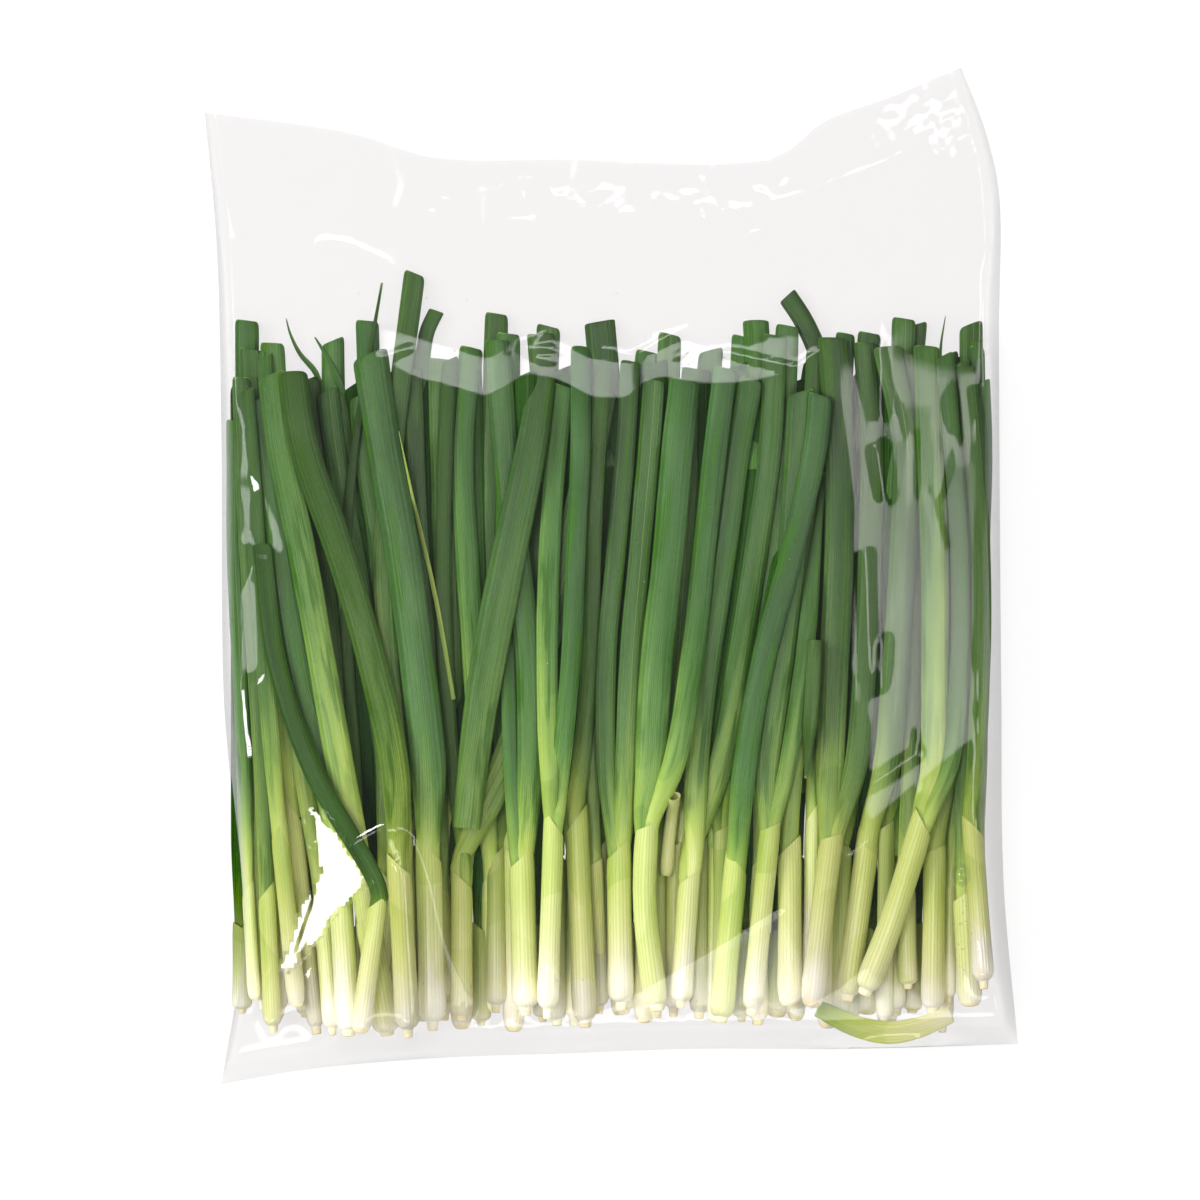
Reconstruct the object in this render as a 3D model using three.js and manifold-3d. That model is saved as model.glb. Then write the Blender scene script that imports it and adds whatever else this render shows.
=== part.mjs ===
import * as THREE from "three";
import Module from "manifold-3d";

// A bunch of trimmed spring onions packed side by side in a clear film bag, lying on its back.
// Millimetres, +Z up, leaf tips towards +Y. The origin is under the middle of the bag.

// ---- driving dimensions -------------------------------------------------------------------

const filmWall = 1.0; // the film is drawn this thick so that it is a solid wall
const clearGap = 0.3; // air between any two pieces
const sideGap = 0.4; // air beside a piece, in plan
const mouthGap = 4; // the open slit at the mouth of the bag
const sealDepth = 5; // how far the welded bottom seam reaches into the bag
const sealHeight = 2.4;

const leafFlatness = 0.36; // a leaf is a hollow tube pressed this flat
const leafRootDepth = 10; // how far a leaf starts inside its shank
const leafStep = 21; // distance between the rings of a leaf
const plugLength = 3.5; // the pale core that stands out of the trimmed root end
const shankProfile = { plug: 0.4, plugFoot: 0.46, rootEnd: 0.86, bulb: 1.06, neck: 1.08, collar: 0.7 };
const neckFlatness = 0.78; // a neck is a little wider than it is thick
const levels = [-80, -35, 10, 55]; // the heights in Y at which a leaf's sideways place is given

const mapCell = 1.5; // the height map that the pieces settle on
const mapHalf = { x: 180, y: 220 };
const stiffSag = 1.1; // how far a leaf may sag between neighbouring rings
const shankSlope = 0.12; // the steepest that a shank lies
const settlePasses = 24;

// outline of the bag, walked from the seam to the mouth and from left to right
const bagLeft = [
  [-165, -215], [-157, -160], [-160, -100], [-164, -50], [-165, 60], [-167, 140], [-172, 196],
];
const bagRight = [
  [172, -198], [166, -130], [165, -50], [164, 100], [164, 162], [158, 189], [148, 215],
];
const bagSeam = [
  [-165, -215], [-131, -209], [-76, -204], [-22, -202], [37, -200], [100, -200], [172, -198],
];
const bagMouth = [
  [-172, 196], [-110, 187], [-76, 177], [-22, 176], [69, 177], [90, 192], [117, 202], [148, 215],
];
const bagColumns = 15; // film points from side to side
const bagRows = 13; // film stations from seam to mouth
const filmReach = 8; // how far round a point the film is held up by the pile

// ---- the onions ---------------------------------------------------------------------------

// one leaf: its width, its sideways places at the four levels (fewer if it ends early), its tip
const leaf = (width, places, tip, pointed = false) => ({ width, places, tip, pointed });

// one onion: its thickness, its shank from root end to neck, and its leaves
const onion = (thickness, shank, ...leaves) => ({ thickness, shank, leaves });

// from the bottom of the pile to the top
const onions = [
  onion(6, [[-147, -183], [-150, -100]], leaf(6.8, [-152, -154, -155, -156], [-156, 76])),
  onion(7.6, [[-124, -193], [-135, -92]], leaf(7.6, [-136, -141, -146, -150], [-152, 84])),
  onion(7.6, [[-117, -193], [-123, -128]], leaf(6.8, [-131, -137, -141, -144], [-146, 94])),
  onion(8.4, [[-99, -182], [-94, -123]],
    leaf(9.2, [-95, -100, -109, -117], [-120, 80]), leaf(10, [-89, -90, -97, -104], [-106, 78])),
  onion(7.6, [[-70, -178], [-72, -128]], leaf(8.4, [-74, -77, -81, -83], [-84, 88])),
  onion(5.6, [[-84, -186], [-86, -120]], leaf(9, [-90, -94, -96, -92], [-83, 129])),
  onion(5, [[-104, -184], [-106, -122]], leaf(4.8, [-108, -111, -112, -108], [-97, 124], true)),
  onion(6.8, [[84, -172], [85, -94]], leaf(8.4, [86, 90, 93, 96], [99, 103])),
  onion(5.8, [[142, -180], [143, -128]], leaf(6.8, [147, 151, 154, 154], [154, 97])),
  onion(5.8, [[155, -157], [155, -107]], leaf(6.8, [155, 155, 156, 157], [156, 83])),
  onion(5.4, [[-150, -178], [-153, -128]], leaf(6.4, [-155, -157, -159, -159], [-159, 66])),
  onion(7.6, [[-142, -192], [-145, -128]], leaf(7.6, [-147, -150, -153, -155], [-156, 84])),
  onion(10, [[-110, -193], [-115, -115]], leaf(11, [-122, -132, -139, -145], [-148, 76])),
  onion(7.2, [[-52, -184], [-51, -122]], leaf(10, [-55, -58, -61, -63], [-59, 97])),
  onion(6.8, [[-4, -178], [-7, -119]], leaf(5.8, [-8, -9, -9, -9], [-8, 74])),
  onion(6.8, [[26, -168], [31, -92]], leaf(6.8, [33, 37, 42, 47], [50, 86])),
  onion(8.4, [[125, -174], [124, -132]], leaf(7.6, [126, 127, 128, 127], [126, 94])),
  onion(9.6, [[135, -184], [136, -113]], leaf(9.2, [141, 147, 150, 149], [146, 91])),
  onion(7.6, [[-132, -181], [-140, -100]], leaf(7.6, [-142, -146, -149, -152], [-154, 79])),
  onion(11, [[-94, -193], [-103, -138]], leaf(11.8, [-114, -122, -130, -139], [-143, 86])),
  onion(9.2, [[-63, -187], [-63, -124]],
    leaf(12.6, [-45, -30, -18, -8], [-4, 79]), leaf(6.8, [-67, -70, -71, -70], [-68, 93])),
  onion(10, [[-11, -190], [-15, -96]], leaf(7.6, [-13, -9, -8, -6], [-3, 88])),
  onion(9.2, [[29, -182], [33, -123]],
    leaf(10, [46, 54, 61, 67], [69, 102]), leaf(10, [36, 41, 48, 54], [59, 84])),
  onion(10, [[75, -181], [75, -109]], leaf(7.6, [77, 80, 82, 84], [86, 95])),
  onion(10, [[151, -181], [148, -130]], leaf(6.8, [148, 150, 152], [152, 32])),
  onion(8.4, [[-105, -191], [-97, -132]], leaf(8.4, [-126, -141], [-147, 14])),
  onion(11, [[-75, -191], [-77, -110]], leaf(15, [-77, -82, -88, -96], [-102, 95])),
  onion(11, [[-36, -185], [-38, -114]],
    leaf(6.8, [-42, -43], [-40, 4], true), leaf(11, [-34, -35, -40, -45], [-48, 100])),
  onion(8.8, [[-27, -186], [-24, -98]],
    leaf(9.2, [-26, -27, -26, -23], [-20, 81]), leaf(8.4, [-21, -17, -15, -13], [-13, 97])),
  onion(10.5, [[4, -183], [3, -110]],
    leaf(8.4, [-2, -2, 2, 6], [8, 91]), leaf(9.2, [6, 8, 12, 16], [18, 83])),
  onion(10, [[19, -183], [14, -138], [15, -103]],
    leaf(13.4, [16, 19, 24, 28], [31, 83]), leaf(10, [26, 34, 39, 44], [48, 88])),
  onion(8.8, [[59, -185], [67, -103]],
    leaf(11.8, [65, 71, 76, 79], [80, 79]), leaf(7.6, [74, 81, 86], [90, 44], true)),
  onion(10, [[84, -181], [89, -138], [93, -108]],
    leaf(12.6, [92, 94, 96, 96], [93, 101]), leaf(10, [103, 107, 109, 110], [107, 99])),
  onion(10, [[99, -179], [109, -106]], leaf(11.8, [116, 120, 123, 124], [116, 97])),
  onion(8.8, [[156, -173], [151, -100]], leaf(8.4, [153, 155, 155, 152], [149, 89])),
  onion(10, [[-85, -193], [-89, -115]], leaf(12.6, [-91, -101, -114, -129], [-134, 86])),
  onion(10, [[46, -188], [53, -116]], leaf(10, [56, 64, 76, 86], [88, 77])),
  onion(10.5, [[106, -176], [118, -144], [132, -98]],
    leaf(11.8, [135, 136, 136, 134], [133, 97]), leaf(7.6, [142, 146, 146, 143], [140, 94])),
];

// the hidden row under them, laid by a rule: evenly spread, each with two leaves
const backCount = 12;
const backThickness = 9;
const backLeafWidth = 10;
const backReach = { left: -140, right: 142 };
const leafReach = { left: -154, right: 152 };
const backSeed = 7;

// leaves that lie free on the bunch: width, then the places that they pass through
const looseLeaf = { width: 15, route: [[-61, -106], [-55, -55], [-44, 5], [-33, 58], [-29, 85]] };
const leafScrap = { width: 7, route: [[90, -182], [104, -187], [122, -189], [140, -184]] };

const random = (() => {
  let state = backSeed;
  return () => {
    state = (state * 1664525 + 1013904223) % 4294967296;
    return state / 4294967296;
  };
})();

const between = (low, high) => low + (high - low) * random();

// the bunch spreads: onions left of the middle lean left, and the others lean right
const leanAt = (x) => 26 * Math.sin((Math.PI * (x + 60)) / 220);

function backOnion(index) {
  const spread = index / (backCount - 1);
  const x = backReach.left + spread * (backReach.right - backReach.left) + between(-5, 5);
  const neck = between(-122, -104);
  const lean = leanAt(x) + between(-8, 8);
  const side = backLeafWidth * between(0.5, 0.8);
  const makeLeaf = (shift) => {
    const place = (part) => THREE.MathUtils.clamp(x + lean * part + shift * (0.6 + part),
      leafReach.left, leafReach.right);
    const tip = [place(1), between(88, 112)];
    return leaf(backLeafWidth, [place(0.1), place(0.4), place(0.65), place(0.85)], tip);
  };
  const root = [x, between(-193, -188)];
  return onion(backThickness, [root, [x + lean * 0.05, neck]], makeLeaf(-side), makeLeaf(side));
}

// ---- rings along a strand -----------------------------------------------------------------

const curveThrough = (places) =>
  new THREE.CatmullRomCurve3(places.map(([x, y]) => new THREE.Vector3(x, y, 0)), false, "centripetal");

// a strand is a list of rings: centre in plan, direction across, half width and half thickness
function ringAt(curve, distance, halfWidth, halfThickness) {
  const t = THREE.MathUtils.clamp(distance / curve.getLength(), 0, 1);
  const centre = curve.getPointAt(t);
  const along = curve.getTangentAt(t);
  return { x: centre.x, y: centre.y, across: [along.y, -along.x], distance, halfWidth, halfThickness };
}

const evenSteps = (length, step) => {
  const count = Math.max(1, Math.round(length / step));
  return Array.from({ length: count + 1 }, (_, i) => (length * i) / count);
};

// the shank: a stub of core, the flat trimmed root end, a slight bulb, an even body, a flatter neck
function shankRings({ thickness, shank }) {
  const radius = thickness / 2;
  const curve = curveThrough(shank);
  const length = curve.getLength();
  const round = (distance, share, flatness = 1) =>
    ringAt(curve, distance, radius * share, radius * share * flatness);
  const rings = [
    round(0, shankProfile.plug),
    round(plugLength, shankProfile.plugFoot),
    round(plugLength + 0.6, shankProfile.rootEnd),
    round(plugLength + 7, shankProfile.bulb),
    round(length * 0.45, 1),
    round(length * 0.8, 1),
    round(length - 4, shankProfile.neck, neckFlatness),
    round(length, shankProfile.collar, neckFlatness),
  ];
  return { curve, rings };
}

// a leaf: narrow inside the shank, widening to its full width, then cut square or drawn to a point
function leafRings(shape, shankCurve, thickness, shift) {
  const length = shankCurve.getLength();
  const start = shankCurve.getPointAt(1 - leafRootDepth / length);
  const neck = shankCurve.getPointAt(1);
  const route = [[start.x + shift * 0.4, start.y], [neck.x + shift, neck.y]];
  shape.places.forEach((x, i) => route.push([x, levels[i]]));
  route.push(shape.tip);
  const curve = curveThrough(route);
  const total = curve.getLength();
  const full = shape.width / 2;
  const first = Math.min(full * 0.8, thickness * 0.3);
  return evenSteps(total, leafStep).map((distance) => {
    const opened = THREE.MathUtils.smoothstep(distance, 0, 45);
    const toTip = (total - distance) / total;
    const narrowing = shape.pointed ? Math.min(1, 0.16 + toTip * 1.5) : Math.min(1, 0.9 + toTip);
    const halfWidth = (first + (full - first) * opened) * narrowing;
    const flatness = THREE.MathUtils.lerp(0.7, leafFlatness, opened);
    return ringAt(curve, distance, halfWidth, Math.max(halfWidth * flatness, 0.7));
  });
}

// ---- settling -----------------------------------------------------------------------------

const mapColumns = (2 * mapHalf.x) / mapCell;
const mapRows = (2 * mapHalf.y) / mapCell;
const sampleStep = mapCell * 0.6;
const pile = new Float32Array(mapColumns * mapRows).fill(filmWall + clearGap);

const cellAt = (x, y) =>
  Math.floor((y + mapHalf.y) / mapCell) * mapColumns + Math.floor((x + mapHalf.x) / mapCell);

// walks over the ground that a strand covers, from one ring to the next
function sweep(rings, visit) {
  for (let i = 0; i + 1 < rings.length; i += 1) {
    const [a, b] = [rings[i], rings[i + 1]];
    const steps = Math.ceil((b.distance - a.distance) / sampleStep);
    for (let k = 0; k <= steps; k += 1) {
      const mix = (from, to) => from + ((to - from) * k) / steps;
      const half = mix(a.halfWidth, b.halfWidth) + sideGap;
      const thick = mix(a.halfThickness, b.halfThickness);
      const columns = Math.ceil(half / sampleStep);
      for (let c = -columns; c <= columns; c += 1) {
        const u = c / columns;
        const x = mix(a.x, b.x) + mix(a.across[0], b.across[0]) * u * half;
        const y = mix(a.y, b.y) + mix(a.across[1], b.across[1]) * u * half;
        visit(cellAt(x, y), mix(a.distance, b.distance), thick * Math.sqrt(1 - u * u));
      }
    }
  }
}

// a strand's height runs straight from each knot to the next
function heightAt(knots, distance) {
  let i = 0;
  while (i + 2 < knots.length && distance > knots[i + 1].distance) i += 1;
  const [lower, upper] = [knots[i], knots[i + 1]];
  const t = (distance - lower.distance) / (upper.distance - lower.distance);
  return lower.height * (1 - t) + upper.height * t;
}

// how high a strand's middle has to be, all along it, to clear the ground
function needsOf(rings, ground) {
  const needs = new Map();
  sweep(rings, (cell, distance, belly) => {
    needs.set(distance, Math.max(needs.get(distance) ?? 0, ground[cell] + belly));
  });
  return Array.from(needs, ([distance, height]) => ({ distance, height }));
}

// the lowest straight line over the needs, for a shank that is too stiff to bend
function settleStiff(rings, ground) {
  const needs = needsOf(rings, ground);
  const length = rings.at(-1).distance;
  let best = null;
  for (let slope = -shankSlope; slope <= shankSlope; slope += shankSlope / 40) {
    const start = Math.max(...needs.map(({ distance, height }) => height - slope * distance));
    const middle = start + (slope * length) / 2;
    if (best === null || middle < best.middle) best = { middle, start, end: start + slope * length };
  }
  return [{ distance: 0, height: best.start }, { distance: length, height: best.end }];
}

// a leaf is springy: no knot hangs far below its neighbours
function stiffen(knots) {
  for (let pass = 0; pass < 20; pass += 1) {
    for (let i = 1; i + 1 < knots.length; i += 1) {
      const level = (knots[i - 1].height + knots[i + 1].height) / 2 - stiffSag;
      knots[i].height = Math.max(knots[i].height, level);
    }
  }
}

// lifts the corners of a stretch or a triangle just enough at its worst place
function liftCorners(corners, worst, whole) {
  const spread = worst.shares.reduce((sum, share) => sum + share * share, 0);
  corners.forEach((corner, k) => {
    corner.height += whole ? worst.lift : (worst.lift * worst.shares[k]) / spread;
  });
}

// lays a springy leaf over the needs: a knot at each ring, each stretch lifted clear
function settleSpringy(rings, ground) {
  const needs = needsOf(rings, ground);
  const knots = rings.map(({ distance }) => ({ distance, height: filmWall }));
  const stretches = knots.slice(1).map((upper, i) => {
    const lower = knots[i];
    const length = upper.distance - lower.distance;
    const inside = needs.filter(({ distance }) => distance >= lower.distance && distance <= upper.distance);
    return { corners: [lower, upper], inside, shareAt: (distance) => (distance - lower.distance) / length };
  });
  for (let pass = 0; pass < settlePasses; pass += 1) {
    stretches.forEach(({ corners, inside, shareAt }) => {
      let worst = { lift: 0, shares: [1, 1] };
      inside.forEach(({ distance, height }) => {
        const t = shareAt(distance);
        const lift = height - corners[0].height * (1 - t) - corners[1].height * t;
        if (lift > worst.lift) worst = { lift, shares: [1 - t, t] };
      });
      liftCorners(corners, worst, pass === settlePasses - 1);
    });
  }
  stiffen(knots);
  return knots;
}

// raises the ground to the top of a settled strand
function cover({ rings, knots }, ground, firstRing = 0) {
  sweep(rings.slice(firstRing), (cell, distance, belly) => {
    ground[cell] = Math.max(ground[cell], heightAt(knots, distance) + belly + clearGap);
  });
}

// ---- solids -------------------------------------------------------------------------------

const wasm = await Module();
wasm.setup();

function solidFrom(positions, triangles) {
  return new wasm.Manifold(new wasm.Mesh({
    numProp: 3,
    vertProperties: Float32Array.from(positions.flat()),
    triVerts: Uint32Array.from(triangles.flat()),
  }));
}

// the band of triangles between two rings of points; its diagonals lean either way
function band(first, second, sides, leanBack = false) {
  return Array.from({ length: sides }, (_, s) => {
    const next = (s + 1) % sides;
    const [a, b, c, d] = [first + s, first + next, second + next, second + s];
    return leanBack ? [[a, d, b], [b, d, c]] : [[a, c, b], [a, d, c]];
  }).flat();
}

function strandSolid({ rings, knots }, sides) {
  const positions = rings.flatMap((ring) => Array.from({ length: sides }, (_, s) => {
    const angle = (2 * Math.PI * (s + 0.5)) / sides;
    const u = Math.cos(angle) * ring.halfWidth;
    return [ring.x + ring.across[0] * u, ring.y + ring.across[1] * u,
      heightAt(knots, ring.distance) + Math.sin(angle) * ring.halfThickness];
  }));
  const last = (rings.length - 1) * sides;
  const triangles = rings.slice(1).flatMap((_, i) => band(i * sides, (i + 1) * sides, sides));
  for (let s = 1; s + 1 < sides; s += 1) {
    triangles.push([0, s, s + 1], [last, last + s + 1, last + s]);
  }
  return solidFrom(positions, triangles);
}

// lays a free strand on the pile
function layStrand(rings, sides) {
  const strand = { rings, knots: settleSpringy(rings, pile) };
  cover(strand, pile);
  return strandSolid(strand, sides);
}

// lays one onion on the pile: a stiff straight shank, and each leaf over the one before
function layOnion(shape, shankSides, leafSides) {
  const { curve, rings } = shankRings(shape);
  const shank = { rings, knots: settleStiff(rings, pile) };
  const spread = shape.leaves.length > 1 ? shape.thickness * 0.18 : 0;
  const ground = pile.slice();
  const leaves = shape.leaves.map((one, i) => {
    const row = leafRings(one, curve, shape.thickness, i === 0 ? -spread : spread);
    const strand = { rings: row, knots: settleSpringy(row, ground) };
    cover(strand, ground, 2);
    return strand;
  });
  const start = curve.getLength() - leafRootDepth;
  const lift = Math.max(0, ...leaves.map(({ knots }) => knots[0].height - heightAt(shank.knots, start)));
  shank.knots[1].height += (lift * curve.getLength()) / start;
  leaves.forEach(({ knots }) => {
    knots[0].height = heightAt(shank.knots, start);
    stiffen(knots);
  });
  [shank, ...leaves].forEach((strand) => cover(strand, pile));
  return leaves.reduce((sum, strand) => sum.add(strandSolid(strand, leafSides)),
    strandSolid(shank, shankSides));
}

// ---- the bag ------------------------------------------------------------------------------

// the bag's plan: a sheet filled in between the seam, the mouth and the two sides
function bagPlan() {
  const [left, right, seam, mouth] = [bagLeft, bagRight, bagSeam, bagMouth].map(curveThrough);
  const corner = (u, v) => {
    const [a, b] = [left.getPoint(v < 0.5 ? 0 : 1), right.getPoint(v < 0.5 ? 0 : 1)];
    return a.lerp(b, u);
  };
  return (u, v) => {
    const across = seam.getPointAt(u).lerp(mouth.getPointAt(u), v);
    const along = left.getPointAt(v).lerp(right.getPointAt(v), u);
    return across.add(along).sub(corner(u, 0).lerp(corner(u, 1), v));
  };
}

// shares from 0 to 1 that lie closer together near both ends
const closerAtEnds = (count) => Array.from({ length: count }, (_, i) => {
  const t = i / (count - 1);
  return (t + (1 - Math.cos(Math.PI * t)) / 2) / 2;
});

// the film's points: its inner face, column by column in each row, the seam first
function filmPoints() {
  const plan = bagPlan();
  const sealShare = sealDepth / (bagMouth[0][1] - bagLeft[0][1]);
  const rows = [0, ...closerAtEnds(bagRows).map((v) => sealShare + (1 - sealShare) * v)];
  return rows.map((v, j) => closerAtEnds(bagColumns).map((u, i) => {
    const point = plan(u, v);
    point.x += i === 0 ? filmWall : 0;
    point.x -= i === bagColumns - 1 ? filmWall : 0;
    const height = filmWall + (j === rows.length - 1 ? mouthGap : 1);
    return { x: point.x, y: point.y, height };
  }));
}

// the place where a film triangle has to rise most to clear the pile
function filmWorst(corners) {
  const [a, b, c] = corners;
  const longest = Math.max(Math.hypot(a.x - b.x, a.y - b.y), Math.hypot(b.x - c.x, b.y - c.y),
    Math.hypot(c.x - a.x, c.y - a.y));
  const steps = Math.ceil(longest / sampleStep);
  let worst = { lift: 0, shares: [1, 1, 1] };
  for (let m = 0; m <= steps; m += 1) {
    for (let n = 0; m + n <= steps; n += 1) {
      const shares = [m / steps, n / steps, 1 - (m + n) / steps];
      const at = (axis) => corners.reduce((sum, corner, k) => sum + corner[axis] * shares[k], 0);
      const lift = pile[cellAt(at("x"), at("y"))] - at("height");
      if (lift > worst.lift) worst = { lift, shares };
    }
  }
  return worst;
}

// the top of the pile within reach of a place
function pileNear(x, y) {
  let height = 0;
  for (let dx = -filmReach; dx <= filmReach; dx += mapCell) {
    for (let dy = -filmReach; dy <= filmReach; dy += mapCell) {
      height = Math.max(height, pile[cellAt(x + dx, y + dy)]);
    }
  }
  return height;
}

// drapes the upper film over the pile, as tight as its few points allow
function drape(rows) {
  rows.slice(1, -1).flat().forEach((point) => {
    point.height = Math.max(point.height, pileNear(point.x, point.y));
  });
  for (let pass = 0; pass < settlePasses; pass += 1) {
    for (let j = 1; j + 1 < rows.length; j += 1) {
      for (let i = 1; i < bagColumns; i += 1) {
        const [near, far] = [rows[j], rows[j + 1]];
        [[near[i], far[i - 1], near[i - 1]], [near[i], far[i], far[i - 1]]].forEach((corners) => {
          liftCorners(corners, filmWorst(corners), pass === settlePasses - 1);
        });
      }
    }
  }
}

// one closed loop of the bag: over the top from right to left, back along the underside
function bagLoop(row, outward, top, bottom) {
  const places = row.map((point, i) => {
    const side = i === 0 ? -outward : i === bagColumns - 1 ? outward : 0;
    return [point.x + side, point.y, point.height];
  });
  const upper = places.map(([x, y, z]) => [x, y, top(z)]).reverse();
  const lower = places.map(([x, y]) => [x, y, bottom]);
  return [...upper, ...lower];
}

function bagSolid() {
  const rows = filmPoints();
  drape(rows);
  const outer = rows.map((row, j) =>
    bagLoop(row, filmWall, (z) => (j === 0 ? sealHeight : z + filmWall), 0));
  const inner = rows.slice(1).map((row) => bagLoop(row, 0, (z) => z, filmWall)).reverse();
  const loops = [...outer, ...inner];
  const sides = 2 * bagColumns;
  const triangles = loops.slice(1).flatMap((_, i) =>
    band(i * sides, (i + 1) * sides, sides, i >= outer.length));
  const last = (loops.length - 1) * sides;
  for (let k = 0; k + 1 < bagColumns; k += 1) {
    const [a, b, c, d] = [k, k + 1, sides - 2 - k, sides - 1 - k];
    triangles.push([a, b, c], [a, c, d], [last + a, last + c, last + b], [last + a, last + d, last + c]);
  }
  return solidFrom(loops.flat(), triangles);
}

// ---- the assembly -------------------------------------------------------------------------

function meshOf(name, solid, colour, roughness) {
  const { vertProperties, triVerts } = solid.getMesh();
  const geometry = new THREE.BufferGeometry();
  geometry.setAttribute("position", new THREE.BufferAttribute(vertProperties, 3));
  geometry.setIndex(new THREE.BufferAttribute(triVerts, 1));
  geometry.computeVertexNormals();
  const mesh = new THREE.Mesh(geometry, new THREE.MeshStandardMaterial({
    color: colour, roughness, metalness: 0,
  }));
  mesh.name = name;
  return mesh;
}

// a flat free leaf, cut at both ends
function looseRings({ width, route }) {
  const curve = curveThrough(route);
  const length = curve.getLength();
  return evenSteps(length, leafStep).map((distance) => {
    const ends = 0.75 + 0.25 * Math.sin((Math.PI * distance) / length);
    const halfWidth = (width / 2) * ends;
    return ringAt(curve, distance, halfWidth, halfWidth * 0.3);
  });
}

const numbered = (name, index) => `${name}_${String(index + 1).padStart(2, "0")}`;
const bunch = new THREE.Group();

for (let index = 0; index < backCount; index += 1) {
  bunch.add(meshOf(numbered("back_onion", index), layOnion(backOnion(index), 6, 4), "#6f9650", 0.5));
}
onions.forEach((shape, index) => {
  bunch.add(meshOf(numbered("onion", index), layOnion(shape, 8, 6), "#7fa45e", 0.45));
});
bunch.add(meshOf("leaf_scrap", layStrand(looseRings(leafScrap), 6), "#86a55a", 0.5));
bunch.add(meshOf("loose_leaf", layStrand(looseRings(looseLeaf), 6), "#6a9060", 0.5));
bunch.add(meshOf("bag", bagSolid(), "#eef0ea", 0.2));

export default bunch;
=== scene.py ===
# %% [markdown]
# # Spring onions in a clear film bag
# Trimmed spring onions lie side by side in a bag of thin clear film, root ends at the seam and
# leaves towards the open mouth. The measured solids come first, as a fixed frame: they say where
# each onion lies, and many finer pieces made below take the place of one of them.

# %% Load the measured parts
import math
import random

import bpy
import numpy as np
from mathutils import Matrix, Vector
from mathutils.bvhtree import BVHTree


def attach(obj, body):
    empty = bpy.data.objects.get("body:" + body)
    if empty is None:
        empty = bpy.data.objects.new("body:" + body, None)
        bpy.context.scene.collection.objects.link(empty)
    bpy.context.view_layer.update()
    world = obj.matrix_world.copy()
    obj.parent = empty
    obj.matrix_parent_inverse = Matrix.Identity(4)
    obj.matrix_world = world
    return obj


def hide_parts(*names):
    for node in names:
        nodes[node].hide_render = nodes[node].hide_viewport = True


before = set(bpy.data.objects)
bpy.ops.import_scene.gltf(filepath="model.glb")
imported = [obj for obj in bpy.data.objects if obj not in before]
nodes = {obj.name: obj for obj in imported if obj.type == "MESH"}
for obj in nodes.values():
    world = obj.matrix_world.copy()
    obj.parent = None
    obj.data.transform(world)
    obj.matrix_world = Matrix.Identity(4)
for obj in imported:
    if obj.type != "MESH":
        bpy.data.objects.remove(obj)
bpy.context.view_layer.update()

MM = 0.001

# %% [markdown]
# ## Camera, floor and light
# The bag is seen from straight above. A far camera with a long lens keeps the view nearly flat,
# so that pieces near the edge don't lean outwards. The floor is plain and pale.

# %% Camera
VIEW_CENTRE = (-4.8 * MM, -10.1 * MM)
VIEW_WIDTH = 504 * MM
CAMERA_HEIGHT = 3.0
FOCUS_HEIGHT = 22 * MM

camera_data = bpy.data.cameras.new("camera")
camera_data.sensor_width = 36
camera_data.lens = 36 * (CAMERA_HEIGHT - FOCUS_HEIGHT) / VIEW_WIDTH
camera_data.clip_end = 20
camera = bpy.data.objects.new("camera", camera_data)
camera.location = (*VIEW_CENTRE, CAMERA_HEIGHT)
bpy.context.scene.collection.objects.link(camera)
bpy.context.scene.camera = camera
bpy.context.scene.view_settings.view_transform = "Standard"
print("camera lens", round(camera_data.lens), "mm")


# %% Small helpers for materials
def new_material(name):
    material = bpy.data.materials.new(name)
    material.use_nodes = True
    material.node_tree.nodes.clear()
    return material


def add_node(material, kind, inputs=(), **settings):
    """Adds a node. Inputs are (socket, value or another node's output)."""
    node = material.node_tree.nodes.new("ShaderNode" + kind)
    for key, value in settings.items():
        setattr(node, key, value)
    for socket, value in inputs:
        if isinstance(value, bpy.types.NodeSocket):
            material.node_tree.links.new(value, node.inputs[socket])
        else:
            node.inputs[socket].default_value = value
    return node


def colour(code):
    """A colour given as the usual six-digit code, as the linear values that Blender wants."""
    parts = [int(code[i:i + 2], 16) / 255 for i in (1, 3, 5)]
    return (*[p / 12.92 if p < 0.04045 else ((p + 0.055) / 1.055) ** 2.4 for p in parts], 1)


def ramp(material, factor, stops):
    """A colour ramp whose stops are (place, colour code)."""
    node = add_node(material, "ValToRGB", [("Fac", factor)])
    elements = node.color_ramp.elements
    while len(elements) < len(stops):
        elements.new(0.5)
    for element, (place, code) in zip(elements, stops):
        element.position = place
        element.color = colour(code)
    return node.outputs["Color"]


# %% The floor
def clear_selection():
    """Operators act on all that is selected, so every new piece starts with nothing selected."""
    if bpy.context.object and bpy.context.object.mode != "OBJECT":
        bpy.ops.object.mode_set(mode="OBJECT")
    bpy.ops.object.select_all(action="DESELECT")


# the camera sees the floor glow evenly; to the light in the room it is a plain grey
FLOOR_GLOW = 0.86
FLOOR_SIZE, FLOOR_LEVEL = 12, -1.2 * MM
floor_paint = new_material("pale_floor")
seen = add_node(floor_paint, "LightPath").outputs["Is Camera Ray"]
floor_shader = add_node(floor_paint, "BsdfPrincipled", [
    ("Base Color", (0.16, 0.16, 0.16, 1)), ("Roughness", 0.9), ("Specular IOR Level", 0.0),
    ("Emission Color", (1, 1, 1, 1)), ("Emission Strength", FLOOR_GLOW)])
plain_floor = add_node(floor_paint, "BsdfDiffuse", [("Color", (0.5, 0.5, 0.5, 1))])
floor_mix = add_node(floor_paint, "MixShader", [(0, seen), (1, plain_floor.outputs[0]),
                                                (2, floor_shader.outputs[0])])
add_node(floor_paint, "OutputMaterial", [("Surface", floor_mix.outputs[0])])

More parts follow.
